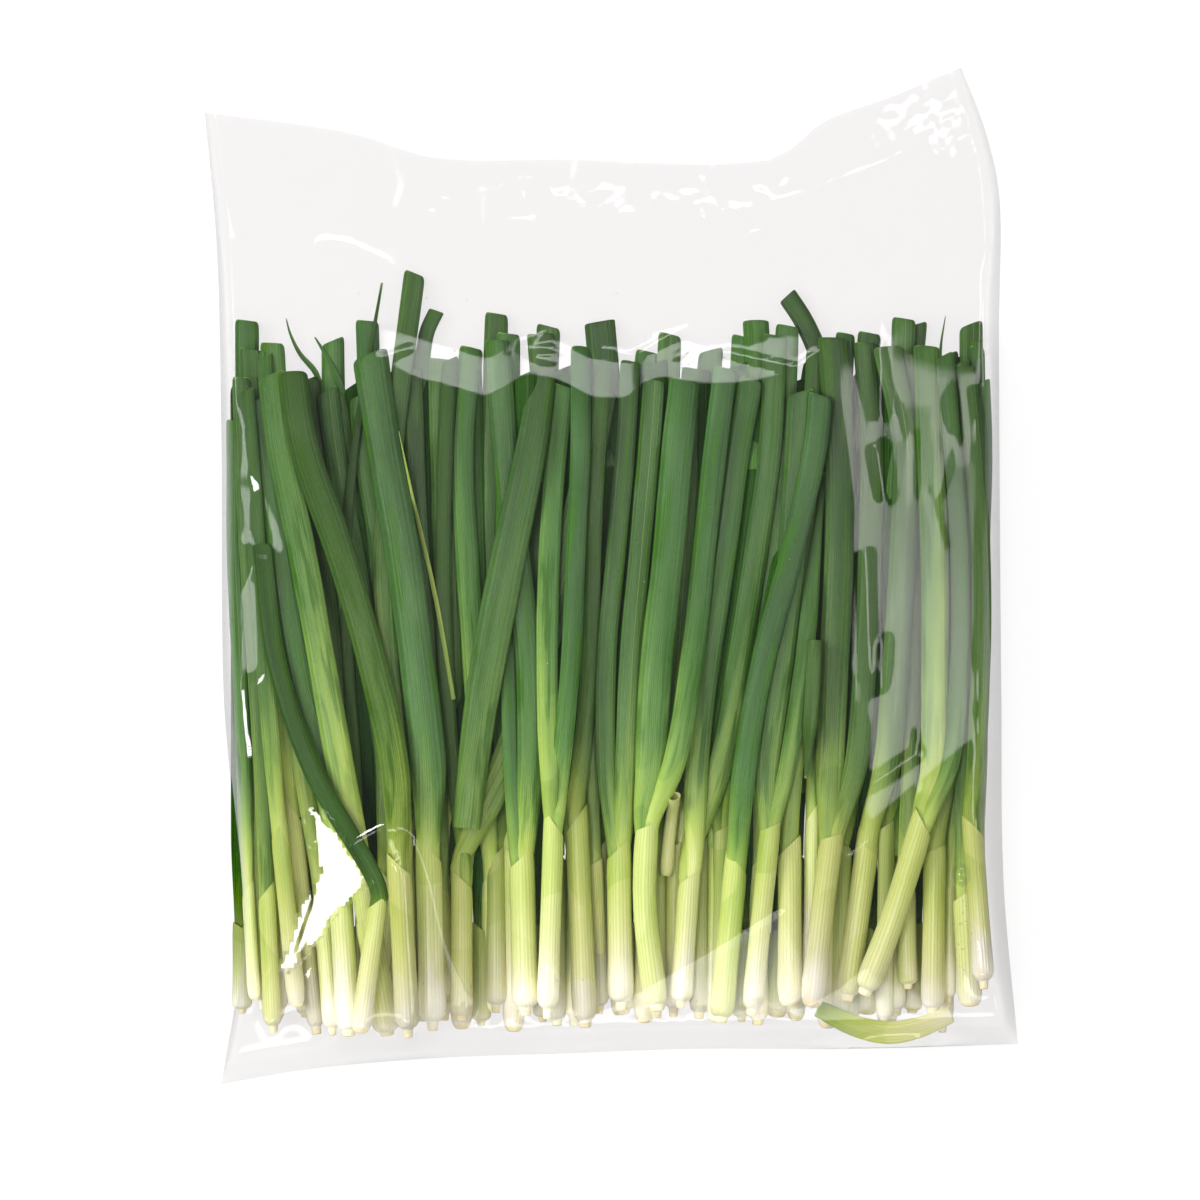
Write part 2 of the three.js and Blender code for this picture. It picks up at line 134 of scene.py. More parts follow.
clear_selection()
bpy.ops.mesh.primitive_plane_add(size=FLOOR_SIZE, location=(0, 0, FLOOR_LEVEL))
floor = bpy.context.object
floor.name = "floor"
floor.data.materials.append(floor_paint)
print("floor", FLOOR_SIZE, "m wide")

# %% The lights
AIM = Vector((0, -0.01, 0.02))
ROOM_COLOUR, ROOM_STRENGTH = (0.93, 0.97, 1, 1), 0.09


def fade_edges(lamp, edge):
    """The face of a softbox dims towards its rim. Edge is how far in, as a share of its size."""
    lamp.use_nodes = True
    glow = lamp.node_tree.nodes["Emission"]
    face = add_node(lamp, "NewGeometry").outputs["Parametric"]
    parts = add_node(lamp, "SeparateXYZ", [("Vector", face)])
    fades = []
    for axis in ("X", "Y"):
        across = add_node(lamp, "Math", [(0, parts.outputs[axis]), (1, 0.5)], operation="SUBTRACT")
        away = add_node(lamp, "Math", [(0, across.outputs[0])], operation="ABSOLUTE")
        fades.append(add_node(lamp, "MapRange", [
            ("Value", away.outputs[0]), ("From Min", 0.5 - edge), ("From Max", 0.5),
            ("To Min", 1.0), ("To Max", 0.0)]).outputs[0])
    both = add_node(lamp, "Math", [(0, fades[0]), (1, fades[1])], operation="MULTIPLY")
    lamp.node_tree.links.new(both.outputs[0], glow.inputs["Strength"])


def softbox(name, place, size, radiance, edge=0.2, tint=(1, 1, 1)):
    """A flat soft light that faces the bag. Radiance is how bright its face looks."""
    data = bpy.data.lights.new(name, "AREA")
    data.shape = "RECTANGLE"
    data.size, data.size_y = size
    data.energy = radiance * math.pi * size[0] * size[1]
    data.color = tint
    fade_edges(data, edge)
    light = bpy.data.objects.new(name, data)
    light.location = place
    light.rotation_euler = (AIM - Vector(place)).to_track_quat("-Z", "Y").to_euler()
    bpy.context.scene.collection.objects.link(light)
    return light


# name, place, size, how bright it looks, how soft its rim is, and a tint
SOFTBOXES = [
    ("left_window", (-0.56, -0.05, 1.9), (0.4, 0.4), 26, 0.12),
    ("right_window", (0.9, 0.3, 1.8), (1.9, 0.5), 3.8, 0.2, (1, 0.95, 0.97)),
    ("far_window", (0.05, 1.21, 1.45), (1.2, 0.34), 5),
    ("left_strip", (-1.15, 0.45, 1.85), (1.2, 0.35), 5),
    ("left_key", (-1.6, 0.35, 1.25), (1.3, 1.1), 11.5),
    ("right_fill", (1.7, -0.3, 1.1), (1.0, 0.8), 3.5),
    ("near_fill", (-0.1, -1.3, 1.3), (1.6, 0.6), 4),
]
softboxes = {name: softbox(name, *settings) for name, *settings in SOFTBOXES}
# the key only shades the bunch: its mirror image in the film would hide the onions from the right
softboxes["left_key"].visible_glossy = False

world = bpy.data.worlds.new("room")
world.use_nodes = True
world.node_tree.nodes["Background"].inputs["Color"].default_value = ROOM_COLOUR
world.node_tree.nodes["Background"].inputs["Strength"].default_value = ROOM_STRENGTH
bpy.context.scene.world = world
print("softboxes:", len(softboxes), "in a dim room")

# %% [markdown]
# ## Where each onion lies
# The same table that placed the solids is repeated here in millimetres: for each onion its
# thickness, its shank from root end to neck, and each leaf's width and sideways places at four
# levels up to its tip. The hidden onions underneath are laid by a rule.

# %% The table of onions
LEVELS = (-80, -35, 10, 55)


def leaf(width, places, tip, pointed=False, dark=False):
    return {"width": width, "places": places, "tip": tip, "pointed": pointed, "dark": dark}


def onion(thickness, shank, *leaves):
    return {"thickness": thickness, "shank": shank, "leaves": leaves}


ONIONS = [
    onion(6, [[-147, -183], [-150, -100]], leaf(6.8, [-152, -154, -155, -156], [-156, 76])),
    onion(7.6, [[-124, -193], [-135, -92]], leaf(7.6, [-136, -141, -146, -150], [-152, 84])),
    onion(7.6, [[-117, -193], [-123, -128]], leaf(6.8, [-131, -137, -141, -144], [-146, 94])),
    onion(8.4, [[-99, -182], [-94, -123]],
          leaf(9.2, [-95, -100, -109, -117], [-120, 80]), leaf(10, [-89, -90, -97, -104], [-106, 78])),
    onion(7.6, [[-70, -178], [-72, -128]], leaf(8.4, [-74, -77, -81, -83], [-84, 88])),
    onion(5.6, [[-84, -186], [-86, -120]], leaf(9, [-90, -94, -96, -92], [-83, 129])),
    onion(5, [[-104, -184], [-106, -122]], leaf(4.8, [-108, -111, -112, -108], [-97, 124], True)),
    onion(6.8, [[84, -172], [85, -94]], leaf(8.4, [86, 90, 93, 96], [99, 103])),
    onion(5.8, [[142, -180], [143, -128]], leaf(6.8, [147, 151, 154, 154], [154, 97])),
    onion(5.8, [[155, -157], [155, -107]], leaf(6.8, [155, 155, 156, 157], [156, 83])),
    onion(5.4, [[-150, -178], [-153, -128]], leaf(6.4, [-155, -157, -159, -159], [-159, 66])),
    onion(7.6, [[-142, -192], [-145, -128]], leaf(7.6, [-147, -150, -153, -155], [-156, 84])),
    onion(10, [[-110, -193], [-115, -115]], leaf(11, [-122, -132, -139, -145], [-148, 76])),
    onion(7.2, [[-52, -184], [-51, -122]], leaf(10, [-55, -58, -61, -63], [-59, 97])),
    onion(6.8, [[-4, -178], [-7, -119]], leaf(5.8, [-8, -9, -9, -9], [-8, 74])),
    onion(6.8, [[26, -168], [31, -92]], leaf(6.8, [33, 37, 42, 47], [50, 86])),
    onion(8.4, [[125, -174], [124, -132]], leaf(7.6, [126, 127, 128, 127], [126, 94])),
    onion(9.6, [[135, -184], [136, -113]], leaf(9.2, [141, 147, 150, 149], [146, 91])),
    onion(7.6, [[-132, -181], [-140, -100]], leaf(7.6, [-142, -146, -149, -152], [-154, 79])),
    onion(11, [[-94, -193], [-103, -138]], leaf(11.8, [-114, -122, -130, -139], [-143, 86])),
    onion(9.2, [[-63, -187], [-63, -124]],
          leaf(12.6, [-45, -30, -18, -8], [-4, 79]), leaf(6.8, [-67, -70, -71, -70], [-68, 93])),
    onion(10, [[-11, -190], [-15, -96]], leaf(7.6, [-13, -9, -8, -6], [-3, 88])),
    onion(9.2, [[29, -182], [33, -123]],
          leaf(10, [46, 54, 61, 67], [69, 102]), leaf(10, [36, 41, 48, 54], [59, 84])),
    onion(10, [[75, -181], [75, -109]], leaf(7.6, [77, 80, 82, 84], [86, 95])),
    onion(10, [[151, -181], [148, -130]], leaf(6.8, [148, 150, 152], [152, 32])),
    onion(8.4, [[-105, -191], [-97, -132]], leaf(8.4, [-126, -141], [-147, 14], dark=True)),
    onion(11, [[-75, -191], [-77, -110]], leaf(15, [-77, -82, -88, -96], [-102, 95])),
    onion(11, [[-36, -185], [-38, -114]],
          leaf(6.8, [-42, -43], [-40, 4], True), leaf(11, [-34, -35, -40, -45], [-48, 100])),
    onion(8.8, [[-27, -186], [-24, -98]],
          leaf(9.2, [-26, -27, -26, -23], [-20, 81]), leaf(8.4, [-21, -17, -15, -13], [-13, 97])),
    onion(10.5, [[4, -183], [3, -110]],
          leaf(8.4, [-2, -2, 2, 6], [8, 91]), leaf(9.2, [6, 8, 12, 16], [18, 83])),
    onion(10, [[19, -183], [14, -138], [15, -103]],
          leaf(13.4, [16, 19, 24, 28], [31, 83]), leaf(10, [26, 34, 39, 44], [48, 88])),
    onion(8.8, [[59, -185], [67, -103]],
          leaf(11.8, [65, 71, 76, 79], [80, 79]), leaf(7.6, [74, 81, 86], [90, 44], True)),
    onion(10, [[84, -181], [89, -138], [93, -108]],
          leaf(12.6, [92, 94, 96, 96], [93, 101]), leaf(10, [103, 107, 109, 110], [107, 99])),
    onion(10, [[99, -179], [109, -106]], leaf(11.8, [116, 120, 123, 124], [116, 97])),
    onion(8.8, [[156, -173], [151, -100]], leaf(8.4, [153, 155, 155, 152], [149, 89])),
    onion(10, [[-85, -193], [-89, -115]], leaf(12.6, [-91, -101, -114, -129], [-134, 86])),
    onion(10, [[46, -188], [53, -116]], leaf(10, [56, 64, 76, 86], [88, 77])),
    onion(10.5, [[106, -176], [118, -144], [132, -98]],
          leaf(11.8, [135, 136, 136, 134], [133, 97]), leaf(7.6, [142, 146, 146, 143], [140, 94])),
]
print("onions on top:", len(ONIONS))

# %% The rule for the hidden onions
BACK_COUNT, BACK_THICKNESS, BACK_LEAF_WIDTH = 12, 9, 10
BACK_REACH = (-140, 142)
LEAF_REACH = (-154, 152)
back_state = 7


def between(low, high):
    """The same plain number rule that placed the hidden solids, so that both agree."""
    global back_state
    back_state = (back_state * 1664525 + 1013904223) % 4294967296
    return low + (high - low) * back_state / 4294967296


def back_onion(index):
    x = BACK_REACH[0] + index / (BACK_COUNT - 1) * (BACK_REACH[1] - BACK_REACH[0]) + between(-5, 5)
    neck = between(-122, -104)
    lean = 26 * math.sin(math.pi * (x + 60) / 220) + between(-8, 8)
    side = BACK_LEAF_WIDTH * between(0.5, 0.8)
    root = [x, between(-193, -188)]
    leaves = []
    for shift in (-side, side):
        places = [min(max(x + lean * part + shift * (0.6 + part), LEAF_REACH[0]), LEAF_REACH[1])
                  for part in (0.1, 0.4, 0.65, 0.85, 1)]
        leaves.append(leaf(BACK_LEAF_WIDTH, places[:4], [places[4], between(88, 112)]))
    return onion(BACK_THICKNESS, [root, [x + lean * 0.05, neck]], *leaves)


BACK_ONIONS = [back_onion(index) for index in range(BACK_COUNT)]
print("onions underneath:", len(BACK_ONIONS))

# %% [markdown]
# ## Routes
# Each shank and leaf follows a smooth line. In plan the line runs through the places of the
# table. Its height is found by feeling the measured solid from above and below at each place, so
# a finer strand lies exactly where its solid lies.

# %% Smooth lines through the places
ROUTE_STEP = 4 * MM
LEAF_ROOT_DEPTH = 10
LEAF_SPREAD = 0.18


def smooth_line(places, step=ROUTE_STEP):
    """A smooth line through places in millimetres, as evenly spaced points in metres."""
    points = [np.array(place, float) * MM for place in places]
    points = [2 * points[0] - points[1], *points, 2 * points[-1] - points[-2]]
    line = []
    for p0, p1, p2, p3 in zip(points, points[1:], points[2:], points[3:]):
        d0, d1, d2 = [math.sqrt(np.linalg.norm(b - a)) for a, b in ((p0, p1), (p1, p2), (p2, p3))]
        t1 = ((p1 - p0) / d0 - (p2 - p0) / (d0 + d1) + (p2 - p1) / d1) * d1
        t2 = ((p2 - p1) / d1 - (p3 - p1) / (d1 + d2) + (p3 - p2) / d2) * d1
        for t in np.linspace(0, 1, 24, endpoint=False):
            line.append(p1 + t * t1 + t * t * (3 * p2 - 3 * p1 - 2 * t1 - t2)
                        + t ** 3 * (2 * p1 - 2 * p2 + t1 + t2))
    line.append(points[-2])
    line = np.array(line)
    far = np.concatenate([[0], np.cumsum(np.linalg.norm(np.diff(line, axis=0), axis=1))])
    count = max(3, round(far[-1] / step) + 1)
    at = np.linspace(0, far[-1], count)
    return np.stack([np.interp(at, far, line[:, k]) for k in (0, 1)], axis=1), at


def leaf_places(shape, shank_line, thickness, shift):
    """A leaf starts a little way down inside its shank, leaves it at the neck, then runs up."""
    line, far = shank_line
    start = [np.interp(far[-1] - LEAF_ROOT_DEPTH * MM, far, line[:, k]) / MM for k in (0, 1)]
    neck = line[-1] / MM
    return [[start[0] + shift * 0.4, start[1]], [neck[0] + shift, neck[1]],
            *[[x, y] for x, y in zip(shape["places"], LEVELS)], shape["tip"]]


# %% Feeling the solids for the height
FEEL_FROM = 0.2


def tree_over(pieces):
    """One search tree over the faces of several pieces."""
    corners, faces = [], []
    for piece in pieces:
        first = len(corners)
        corners += [v.co.copy() for v in piece.data.vertices]
        faces += [[first + i for i in p.vertices] for p in piece.data.polygons]
    return BVHTree.FromPolygons(corners, faces)


def drop_on(tree, x, y):
    """Where a plumb line dropped at a place first meets the tree."""
    return tree.ray_cast(Vector((x, y, FEEL_FROM)), Vector((0, 0, -1)))[0]


def rise_to(tree, x, y):
    """Where a line that rises from below first meets the tree."""
    return tree.ray_cast(Vector((x, y, -FEEL_FROM)), Vector((0, 0, 1)))[0]


def feel(tree, line):
    """Lowest and highest point of a solid along a line in plan; gaps are filled from beside."""
    found = []
    for i, (x, y) in enumerate(line):
        top, low = drop_on(tree, x, y), rise_to(tree, x, y)
        if top is not None and low is not None:
            found.append((i, low.z, top.z))
    found = np.array(found)
    every = np.arange(len(line))
    return np.interp(every, found[:, 0], found[:, 1]), np.interp(every, found[:, 0], found[:, 2])


def smooth_heights(heights, passes=6):
    heights = heights.copy()
    for _ in range(passes):
        heights[1:-1] = (heights[:-2] + 2 * heights[1:-1] + heights[2:]) / 4
    return heights


def shank_heights(tree, line, far):
    """A shank is stiff and straight, so its height is the best straight line through what is felt."""
    low, top = feel(tree, line)
    inside = (far > 0.1 * far[-1]) & (far < 0.7 * far[-1])
    if inside.sum() < 3:
        inside = far < 0.9 * far[-1]
    return np.polyval(np.polyfit(far[inside], (low + top)[inside] / 2, 1), far)


# %% [markdown]
# ## Strands
# A shank and a leaf are each modelled once, lying straight along X, and then copied for every
# onion. A curve modifier bends each copy along its route, and the curve's radius swells or
# narrows it on the way.

# %% Helpers for the templates
def finish_template(piece, smooth_angle=40):
    """Closes, turns faces outwards, smooths, and keeps the piece out of the scene."""
    bpy.ops.mesh.select_all(action="SELECT")
    bpy.ops.mesh.remove_doubles(threshold=1e-7)
    bpy.ops.mesh.normals_make_consistent(inside=False)
    bpy.ops.object.mode_set(mode="OBJECT")
    bpy.ops.object.shade_smooth_by_angle(angle=math.radians(smooth_angle))
    while piece.data.uv_layers:
        piece.data.uv_layers.remove(piece.data.uv_layers[0])
    mesh = piece.data.copy()
    bpy.data.objects.remove(piece)
    return mesh


def tube(name, sides, stations):
    """A tube along X, drawn out ring by ring from one circle. Stations are (x mm, radius mm)."""
    clear_selection()
    (x, radius), *rest = stations
    bpy.ops.mesh.primitive_circle_add(vertices=sides, radius=radius * MM, fill_type="NGON",
                                      location=(x * MM, 0, 0), rotation=(0, math.pi / 2, 0))
    piece = bpy.context.object
    piece.name = name
    bpy.ops.object.transform_apply(location=True, rotation=True, scale=True)
    bpy.ops.object.mode_set(mode="EDIT")
    bpy.ops.mesh.select_all(action="SELECT")
    for next_x, next_radius in rest:
        bpy.ops.mesh.extrude_region_move(TRANSFORM_OT_translate={"value": ((next_x - x) * MM, 0, 0)})
        share = next_radius / radius
        bpy.ops.transform.resize(value=(1, share, share), center_override=(next_x * MM, 0, 0))
        x, radius = next_x, next_radius
    return piece


# %% The leaf templates
LEAF_LENGTH, LEAF_HALF = 200, 5
LEAF_SIDES = 16
OPENED_AT = 45
FLATNESS = 0.36


def smoothstep(value, low, high):
    t = min(max((value - low) / (high - low), 0), 1)
    return t * t * (3 - 2 * t)


def opening(far):
    """How far a leaf has opened from its round root, at each distance along it."""
    return np.array([smoothstep(distance / MM, 0, OPENED_AT) for distance in far])


def leaf_template(name, slant=0.0, crease=0.0, pointed=False):
    """A hollow leaf, round at its root, pressed flat above, cut across or drawn to a point."""
    steps = [5.0 * i for i in range(41)]
    inner = [] if pointed else [(199.4, LEAF_HALF * 0.74), (188, LEAF_HALF * 0.72)]
    radii = [LEAF_HALF * (min(1, 0.2 + (200 - x) / 100) if pointed else 1) for x in steps]
    if not pointed:
        steps[-1:] = [196.8, 198.6, 199.5, 200.0]
        radii[-1:] = [LEAF_HALF * share for share in (1, 0.98, 0.91, 0.8)]
    piece = tube(name, LEAF_SIDES, [*zip(steps, radii), *inner])
    bpy.ops.object.mode_set(mode="OBJECT")
    for vertex in piece.data.vertices:
        x, y, z = vertex.co
        flat = 0.8 + (FLATNESS - 0.8) * smoothstep(x / MM, 0, OPENED_AT)
        dip = crease * smoothstep(x / MM, 30, 80) * math.exp(-(y / (0.3 * LEAF_HALF * MM)) ** 2)
        vertex.co.z = z * flat - (dip * MM if z > 0 else 0)
        vertex.co.x = x + slant * y * smoothstep(x / MM, 180, 200)
    bpy.ops.object.mode_set(mode="EDIT")
    return finish_template(piece)


LEAVES = {
    "plain": leaf_template("leaf_plain", slant=0.12),
    "slanted": leaf_template("leaf_slanted", slant=-0.35),
    "creased": leaf_template("leaf_creased", slant=0.2, crease=0.7),
    "pointed": leaf_template("leaf_pointed", pointed=True),
}
print("leaf templates:", {k: len(m.polygons) for k, m in LEAVES.items()})

# %% The shank template
SHANK_LENGTH, SHANK_HALF = 70, 5
ROOT_ENDS = {
    "plug": [(0, 0.42), (0.3, 0.5), (1.6, 0.54), (2.6, 0.58), (3.0, 0.7), (3.6, 0.84), (4.8, 0.95)],
    "round": [(0, 0.4), (0.4, 0.58), (1.1, 0.72), (2.0, 0.82), (3.0, 0.9), (4.2, 0.95), (5.2, 0.98)],
    "long": [(0, 0.3), (0.3, 0.38), (2.4, 0.44), (3.7, 0.46), (4.2, 0.62), (4.8, 0.8), (5.8, 0.93)],
}
SHANK_STATIONS = [(7, 1.03), (11, 1.06), (16, 1.04), (22, 1.01), (30, 1.0), (38, 0.99), (46, 0.99),
                  (54, 1.0), (60, 1.01), (64, 1.0), (67, 0.98), (70, 0.94), (70, 0.88), (60, 0.84)]


def shank_template(kind, slant):
    """A shank: root end, a slight bulb, an even body and a slanting thin collar."""
    name = "shank_" + kind
    stations = [(x, share * SHANK_HALF) for x, share in ROOT_ENDS[kind] + SHANK_STATIONS]
    piece = tube(name, 20, stations)
    bpy.ops.object.mode_set(mode="OBJECT")
    for vertex in piece.data.vertices:
        x, y, z = vertex.co
        top = smoothstep(x / MM, 50, 70)
        vertex.co.x = x + slant * y * top
        vertex.co.z = z * (1 - 0.2 * top)
    bpy.ops.object.mode_set(mode="EDIT")
    return finish_template(piece)


SHANKS = [shank_template(kind, slant) for kind in ROOT_ENDS for slant in (-1.0, -0.4, 1.0)]
print("shank templates:", len(SHANKS), "of", len(SHANKS[0].polygons), "faces")


# %% Bending a copy along a route
def lay_strand(name, template, line, far, heights, radii, tilts, ripe, start, tone):
    """Copies a template, marks its skin with how ripe each place is, and bends it along the line."""
    mesh = template.copy()
    piece = bpy.data.objects.new(name, mesh)
    bpy.context.scene.collection.objects.link(piece)
    mark_skin(mesh, far[-1], ripe, start, tone)
    route = bpy.data.curves.new(name + "_route", "CURVE")
    route.dimensions = "3D"
    route.twist_mode = "Z_UP"
    route.use_stretch = True
    route.use_deform_bounds = True
    spline = route.splines.new("POLY")
    spline.points.add(len(line) - 1)
    for point, (x, y), z, radius, tilt in zip(spline.points, line, heights, radii, tilts):
        point.co = (x, y, z, 1)
        point.radius = radius
        point.tilt = tilt
    guide = bpy.data.objects.new(name + "_route", route)
    bpy.context.scene.collection.objects.link(guide)
    clear_selection()
    bpy.context.view_layer.objects.active = piece
    piece.select_set(True)
    bend = piece.modifiers.new("bend", "CURVE")
    bend.object = guide
    bend.deform_axis = "POS_X"
    bpy.ops.object.modifier_apply(modifier="bend")
    bpy.data.objects.remove(guide)
    bpy.data.curves.remove(route)
    return piece


def mark_skin(mesh, length, ripe, start, tone):
    """Gives the skin a map (round, along in metres) and two values: ripeness and tone."""
    count = len(mesh.vertices)
    co = np.zeros(count * 3)
    mesh.vertices.foreach_get("co", co)
    co = co.reshape(-1, 3)
    share = (co[:, 0] - co[:, 0].min()) / (co[:, 0].max() - co[:, 0].min())
    round_share = np.arctan2(co[:, 2], co[:, 1]) / (2 * math.pi) + 0.25
    ripeness = np.array([ripe(s * length) for s in share])
    if ripeness[share > 0.99].mean() > 0.7:
        ripeness -= 0.3 * np.clip((share - 0.9965) / 0.003, 0, 1)
    values = {"ripe": ripeness, "tone": np.full(count, tone)}
    for key, numbers in values.items():
        mesh.attributes.new(key, "FLOAT", "POINT").data.foreach_set("value", numbers.astype(np.float32))
    if not mesh.uv_layers:
        mesh.uv_layers.new(name="skin")
    corner = np.zeros(len(mesh.loops), dtype=np.int64)
    mesh.loops.foreach_get("vertex_index", corner)
    around = round_share[corner]
    for face in mesh.polygons:
        span = slice(face.loop_start, face.loop_start + face.loop_total)
        if around[span].max() - around[span].min() > 0.5:
            around[span] = np.where(around[span] < 0.25, around[span] + 1, around[span])
    uv = np.stack([around, start + share[corner] * length], axis=1)
    mesh.uv_layers["skin"].data.foreach_set("uv", uv.astype(np.float32).ravel())


# %% [markdown]
# ## The skin of the onions
# One material runs the whole length of an onion. A value painted on each strand, its ripeness,
# goes from the white root end through pale and yellow green to the dark leaf, and fine stripes
# follow the skin's own map. Waxy bloom lies over the leaf in patches, and where it is rubbed off
# the leaf is a stronger green.

# %% The skin's own map and its two values
skin = new_material("onion_skin")
skin_map = add_node(skin, "UVMap", uv_map="skin").outputs["UV"]
ripe_value = add_node(skin, "Attribute", attribute_name="ripe", attribute_type="GEOMETRY").outputs["Fac"]
tone_value = add_node(skin, "Attribute", attribute_name="tone", attribute_type="GEOMETRY").outputs["Fac"]


# %% Helpers for masks and mixes
def maths(material, operation, *values, clamp=False):
    inputs = list(enumerate(values))
    return add_node(material, "Math", inputs, operation=operation, use_clamp=clamp).outputs[0]


def streaks(material, scale_round, scale_along, detail=2.0, offset=0.0):
    """Noise drawn out along the strand; each onion gets its own by its tone."""
    parts = add_node(material, "SeparateXYZ", [("Vector", skin_map)])
    vector = add_node(material, "CombineXYZ", [
        ("X", maths(material, "MULTIPLY", parts.outputs["X"], scale_round)),
        ("Y", maths(material, "MULTIPLY", parts.outputs["Y"], scale_along)),
        ("Z", maths(material, "MULTIPLY_ADD", tone_value, 37.0, offset))])
    return add_node(material, "TexNoise", [("Vector", vector.outputs[0]), ("Scale", 1.0),
                                           ("Detail", detail), ("Roughness", 0.6)]).outputs[0]


def mix_colour(material, factor, first, second, blend="MIX"):
    node = add_node(material, "Mix", data_type="RGBA", blend_type=blend)
    for socket, value in ((node.inputs[0], factor), (node.inputs[6], first), (node.inputs[7], second)):
        if isinstance(value, bpy.types.NodeSocket):
            material.node_tree.links.new(value, socket)
        else:
            socket.default_value = value
    return node.outputs[2]


def spread(material, value, low, high, to_low=0.0, to_high=1.0):
    """Stretches a value from one range to another, and holds it there."""
    return add_node(material, "MapRange", [("Value", value), ("From Min", low), ("From Max", high),
                                           ("To Min", to_low), ("To Max", to_high)]).outputs[0]


# %% Streaks, patches and where they show
fine = streaks(skin, 60, 10, 2.0)
broad = streaks(skin, 5, 22, 2.0, 5.0)
patches = streaks(skin, 3.2, 14, 3.0, 11.0)
layers = streaks(skin, 0.8, 26, 0.0, 17.0)
around = add_node(skin, "SeparateXYZ", [("Vector", skin_map)]).outputs["X"]
turn = maths(skin, "MULTIPLY_ADD", around, 2 * math.pi, maths(skin, "MULTIPLY", tone_value, 9.0))
lopsided = maths(skin, "MULTIPLY", maths(skin, "COSINE", turn), 0.045)
shanky = maths(skin, "MULTIPLY", spread(skin, ripe_value, 0.02, 0.16), spread(skin, ripe_value, 0.8, 0.5))
leafy = spread(skin, ripe_value, 0.55, 0.8)
shift = maths(skin, "ADD", maths(skin, "MULTIPLY_ADD", broad, 0.2, -0.1), lopsided)
steps = maths(skin, "MULTIPLY", spread(skin, layers, 0.5, 0.515, -0.04, 0.04), shanky)
shift = maths(skin, "ADD", shift, steps)
ripeness = maths(skin, "MULTIPLY_ADD", shift, spread(skin, ripe_value, 0, 0.12), ripe_value)
print("streaks and masks:", len(skin.node_tree.nodes), "nodes so far")

# %% Colour from the root end to the leaf tip
SKIN_STOPS = [
    (0.0, "#f4ebbe"), (0.04, "#f7f3e0"), (0.11, "#f2efc2"), (0.22, "#e5e9a4"), (0.34, "#dbe392"),
    (0.46, "#c9d776"), (0.56, "#aec65c"), (0.68, "#83a648"), (0.8, "#4f7a2e"), (0.9, "#376124"),
    (1.0, "#294c1e")]
base = ramp(skin, ripeness, SKIN_STOPS)
print("stops of the colour ramp:", len(SKIN_STOPS))

# %% Wax on the leaves, and where it is rubbed off
own = maths(skin, "FRACT", maths(skin, "MULTIPLY", tone_value, 7.3))
wax = maths(skin, "MULTIPLY", spread(skin, patches, 0.35, 0.68, 0.1, 0.7), leafy)
wax = maths(skin, "MULTIPLY", wax, spread(skin, own, 0, 1, 0.3, 1.1))
waxed = mix_colour(skin, wax, base, colour("#5a8447"))
rubbed_mask = maths(skin, "MULTIPLY", spread(skin, broad, 0.54, 0.62, 0, 0.9), leafy)
rubbed = mix_colour(skin, rubbed_mask, waxed, colour("#36660e"))
print("with wax:", len(skin.node_tree.nodes), "nodes so far")

# %% Veins, a painted sheen on the rims, and a keel line that is partly painted highlight
VEIN_COUNT = 22
wave = maths(skin, "MULTIPLY_ADD", around, 2 * math.pi * VEIN_COUNT, maths(skin, "MULTIPLY", patches, 3.0))
veins = maths(skin, "MULTIPLY_ADD", maths(skin, "SINE", wave), 0.25, fine)
vein_mask = maths(skin, "MULTIPLY", spread(skin, veins, 0.4, 0.85, 0, 0.4), shanky)
veined = mix_colour(skin, vein_mask, rubbed, colour("#9abd4e"))
# painted sheen: the leaf turns a paler green where its surface is seen at a glance, along its rims
rim = add_node(skin, "LayerWeight", [("Blend", 0.5)]).outputs["Facing"]
rim_sheen_mask = maths(skin, "MULTIPLY", spread(skin, rim, 0.5, 0.95, 0, 0.3), leafy)
sheened = mix_colour(skin, rim_sheen_mask, veined, colour("#86ab5c"))
# the keel line is partly the pale colour of the fold and partly a painted highlight along it
keel_highlight = maths(skin, "ABSOLUTE", maths(skin, "SUBTRACT", around, spread(skin, own, 0, 1, 0.43, 0.57)))
keel_highlight = maths(skin, "MULTIPLY", spread(skin, keel_highlight, 0.004, 0.014, 0.35, 0), leafy)
keel_highlight = maths(skin, "MULTIPLY", keel_highlight, maths(skin, "GREATER_THAN", own, 0.7))
sheened = mix_colour(skin, keel_highlight, sheened, colour("#a8c274"))
print("veins round each strand:", VEIN_COUNT)

# %% Each onion a little lighter, darker or yellower, and the buried ones darker as painted shade
grain = streaks(skin, 55, 420, 1.0, 23.0)
speckled = maths(skin, "ADD", spread(skin, veins, 0.15, 0.85, -0.2, 0.2),
                 spread(skin, grain, 0.3, 0.7, -0.09, 0.09))
leaf_lines = maths(skin, "MULTIPLY", speckled, leafy)
# painted shade: onions with a low tone lie deep in the pile and are darkened, least at their pale root
# ends; their richer colour and shifted hue go with it
painted_depth_shade = maths(skin, "MULTIPLY", spread(skin, tone_value, -1, 0, 0.62, 0),
             spread(skin, ripe_value, 0.06, 0.6, 0.05, 1))
shade = maths(skin, "SUBTRACT", spread(skin, tone_value, 0, 1, 0.8, 1.12), painted_depth_shade)
richer = maths(skin, "MULTIPLY_ADD", spread(skin, tone_value, -0.6, 0.2, 0.3, 0), leafy, 1.0)
hue = maths(skin, "ADD", spread(skin, tone_value, 0, 1, 0.482, 0.502),
            spread(skin, tone_value, -0.3, 0, 0.022, 0))
brighter = add_node(skin, "HueSaturation", [
    ("Value", maths(skin, "ADD", shade, leaf_lines)),
    ("Saturation", richer),
    ("Hue", hue), ("Color", sheened)]).outputs[0]
print("with tones:", len(skin.node_tree.nodes), "nodes so far")
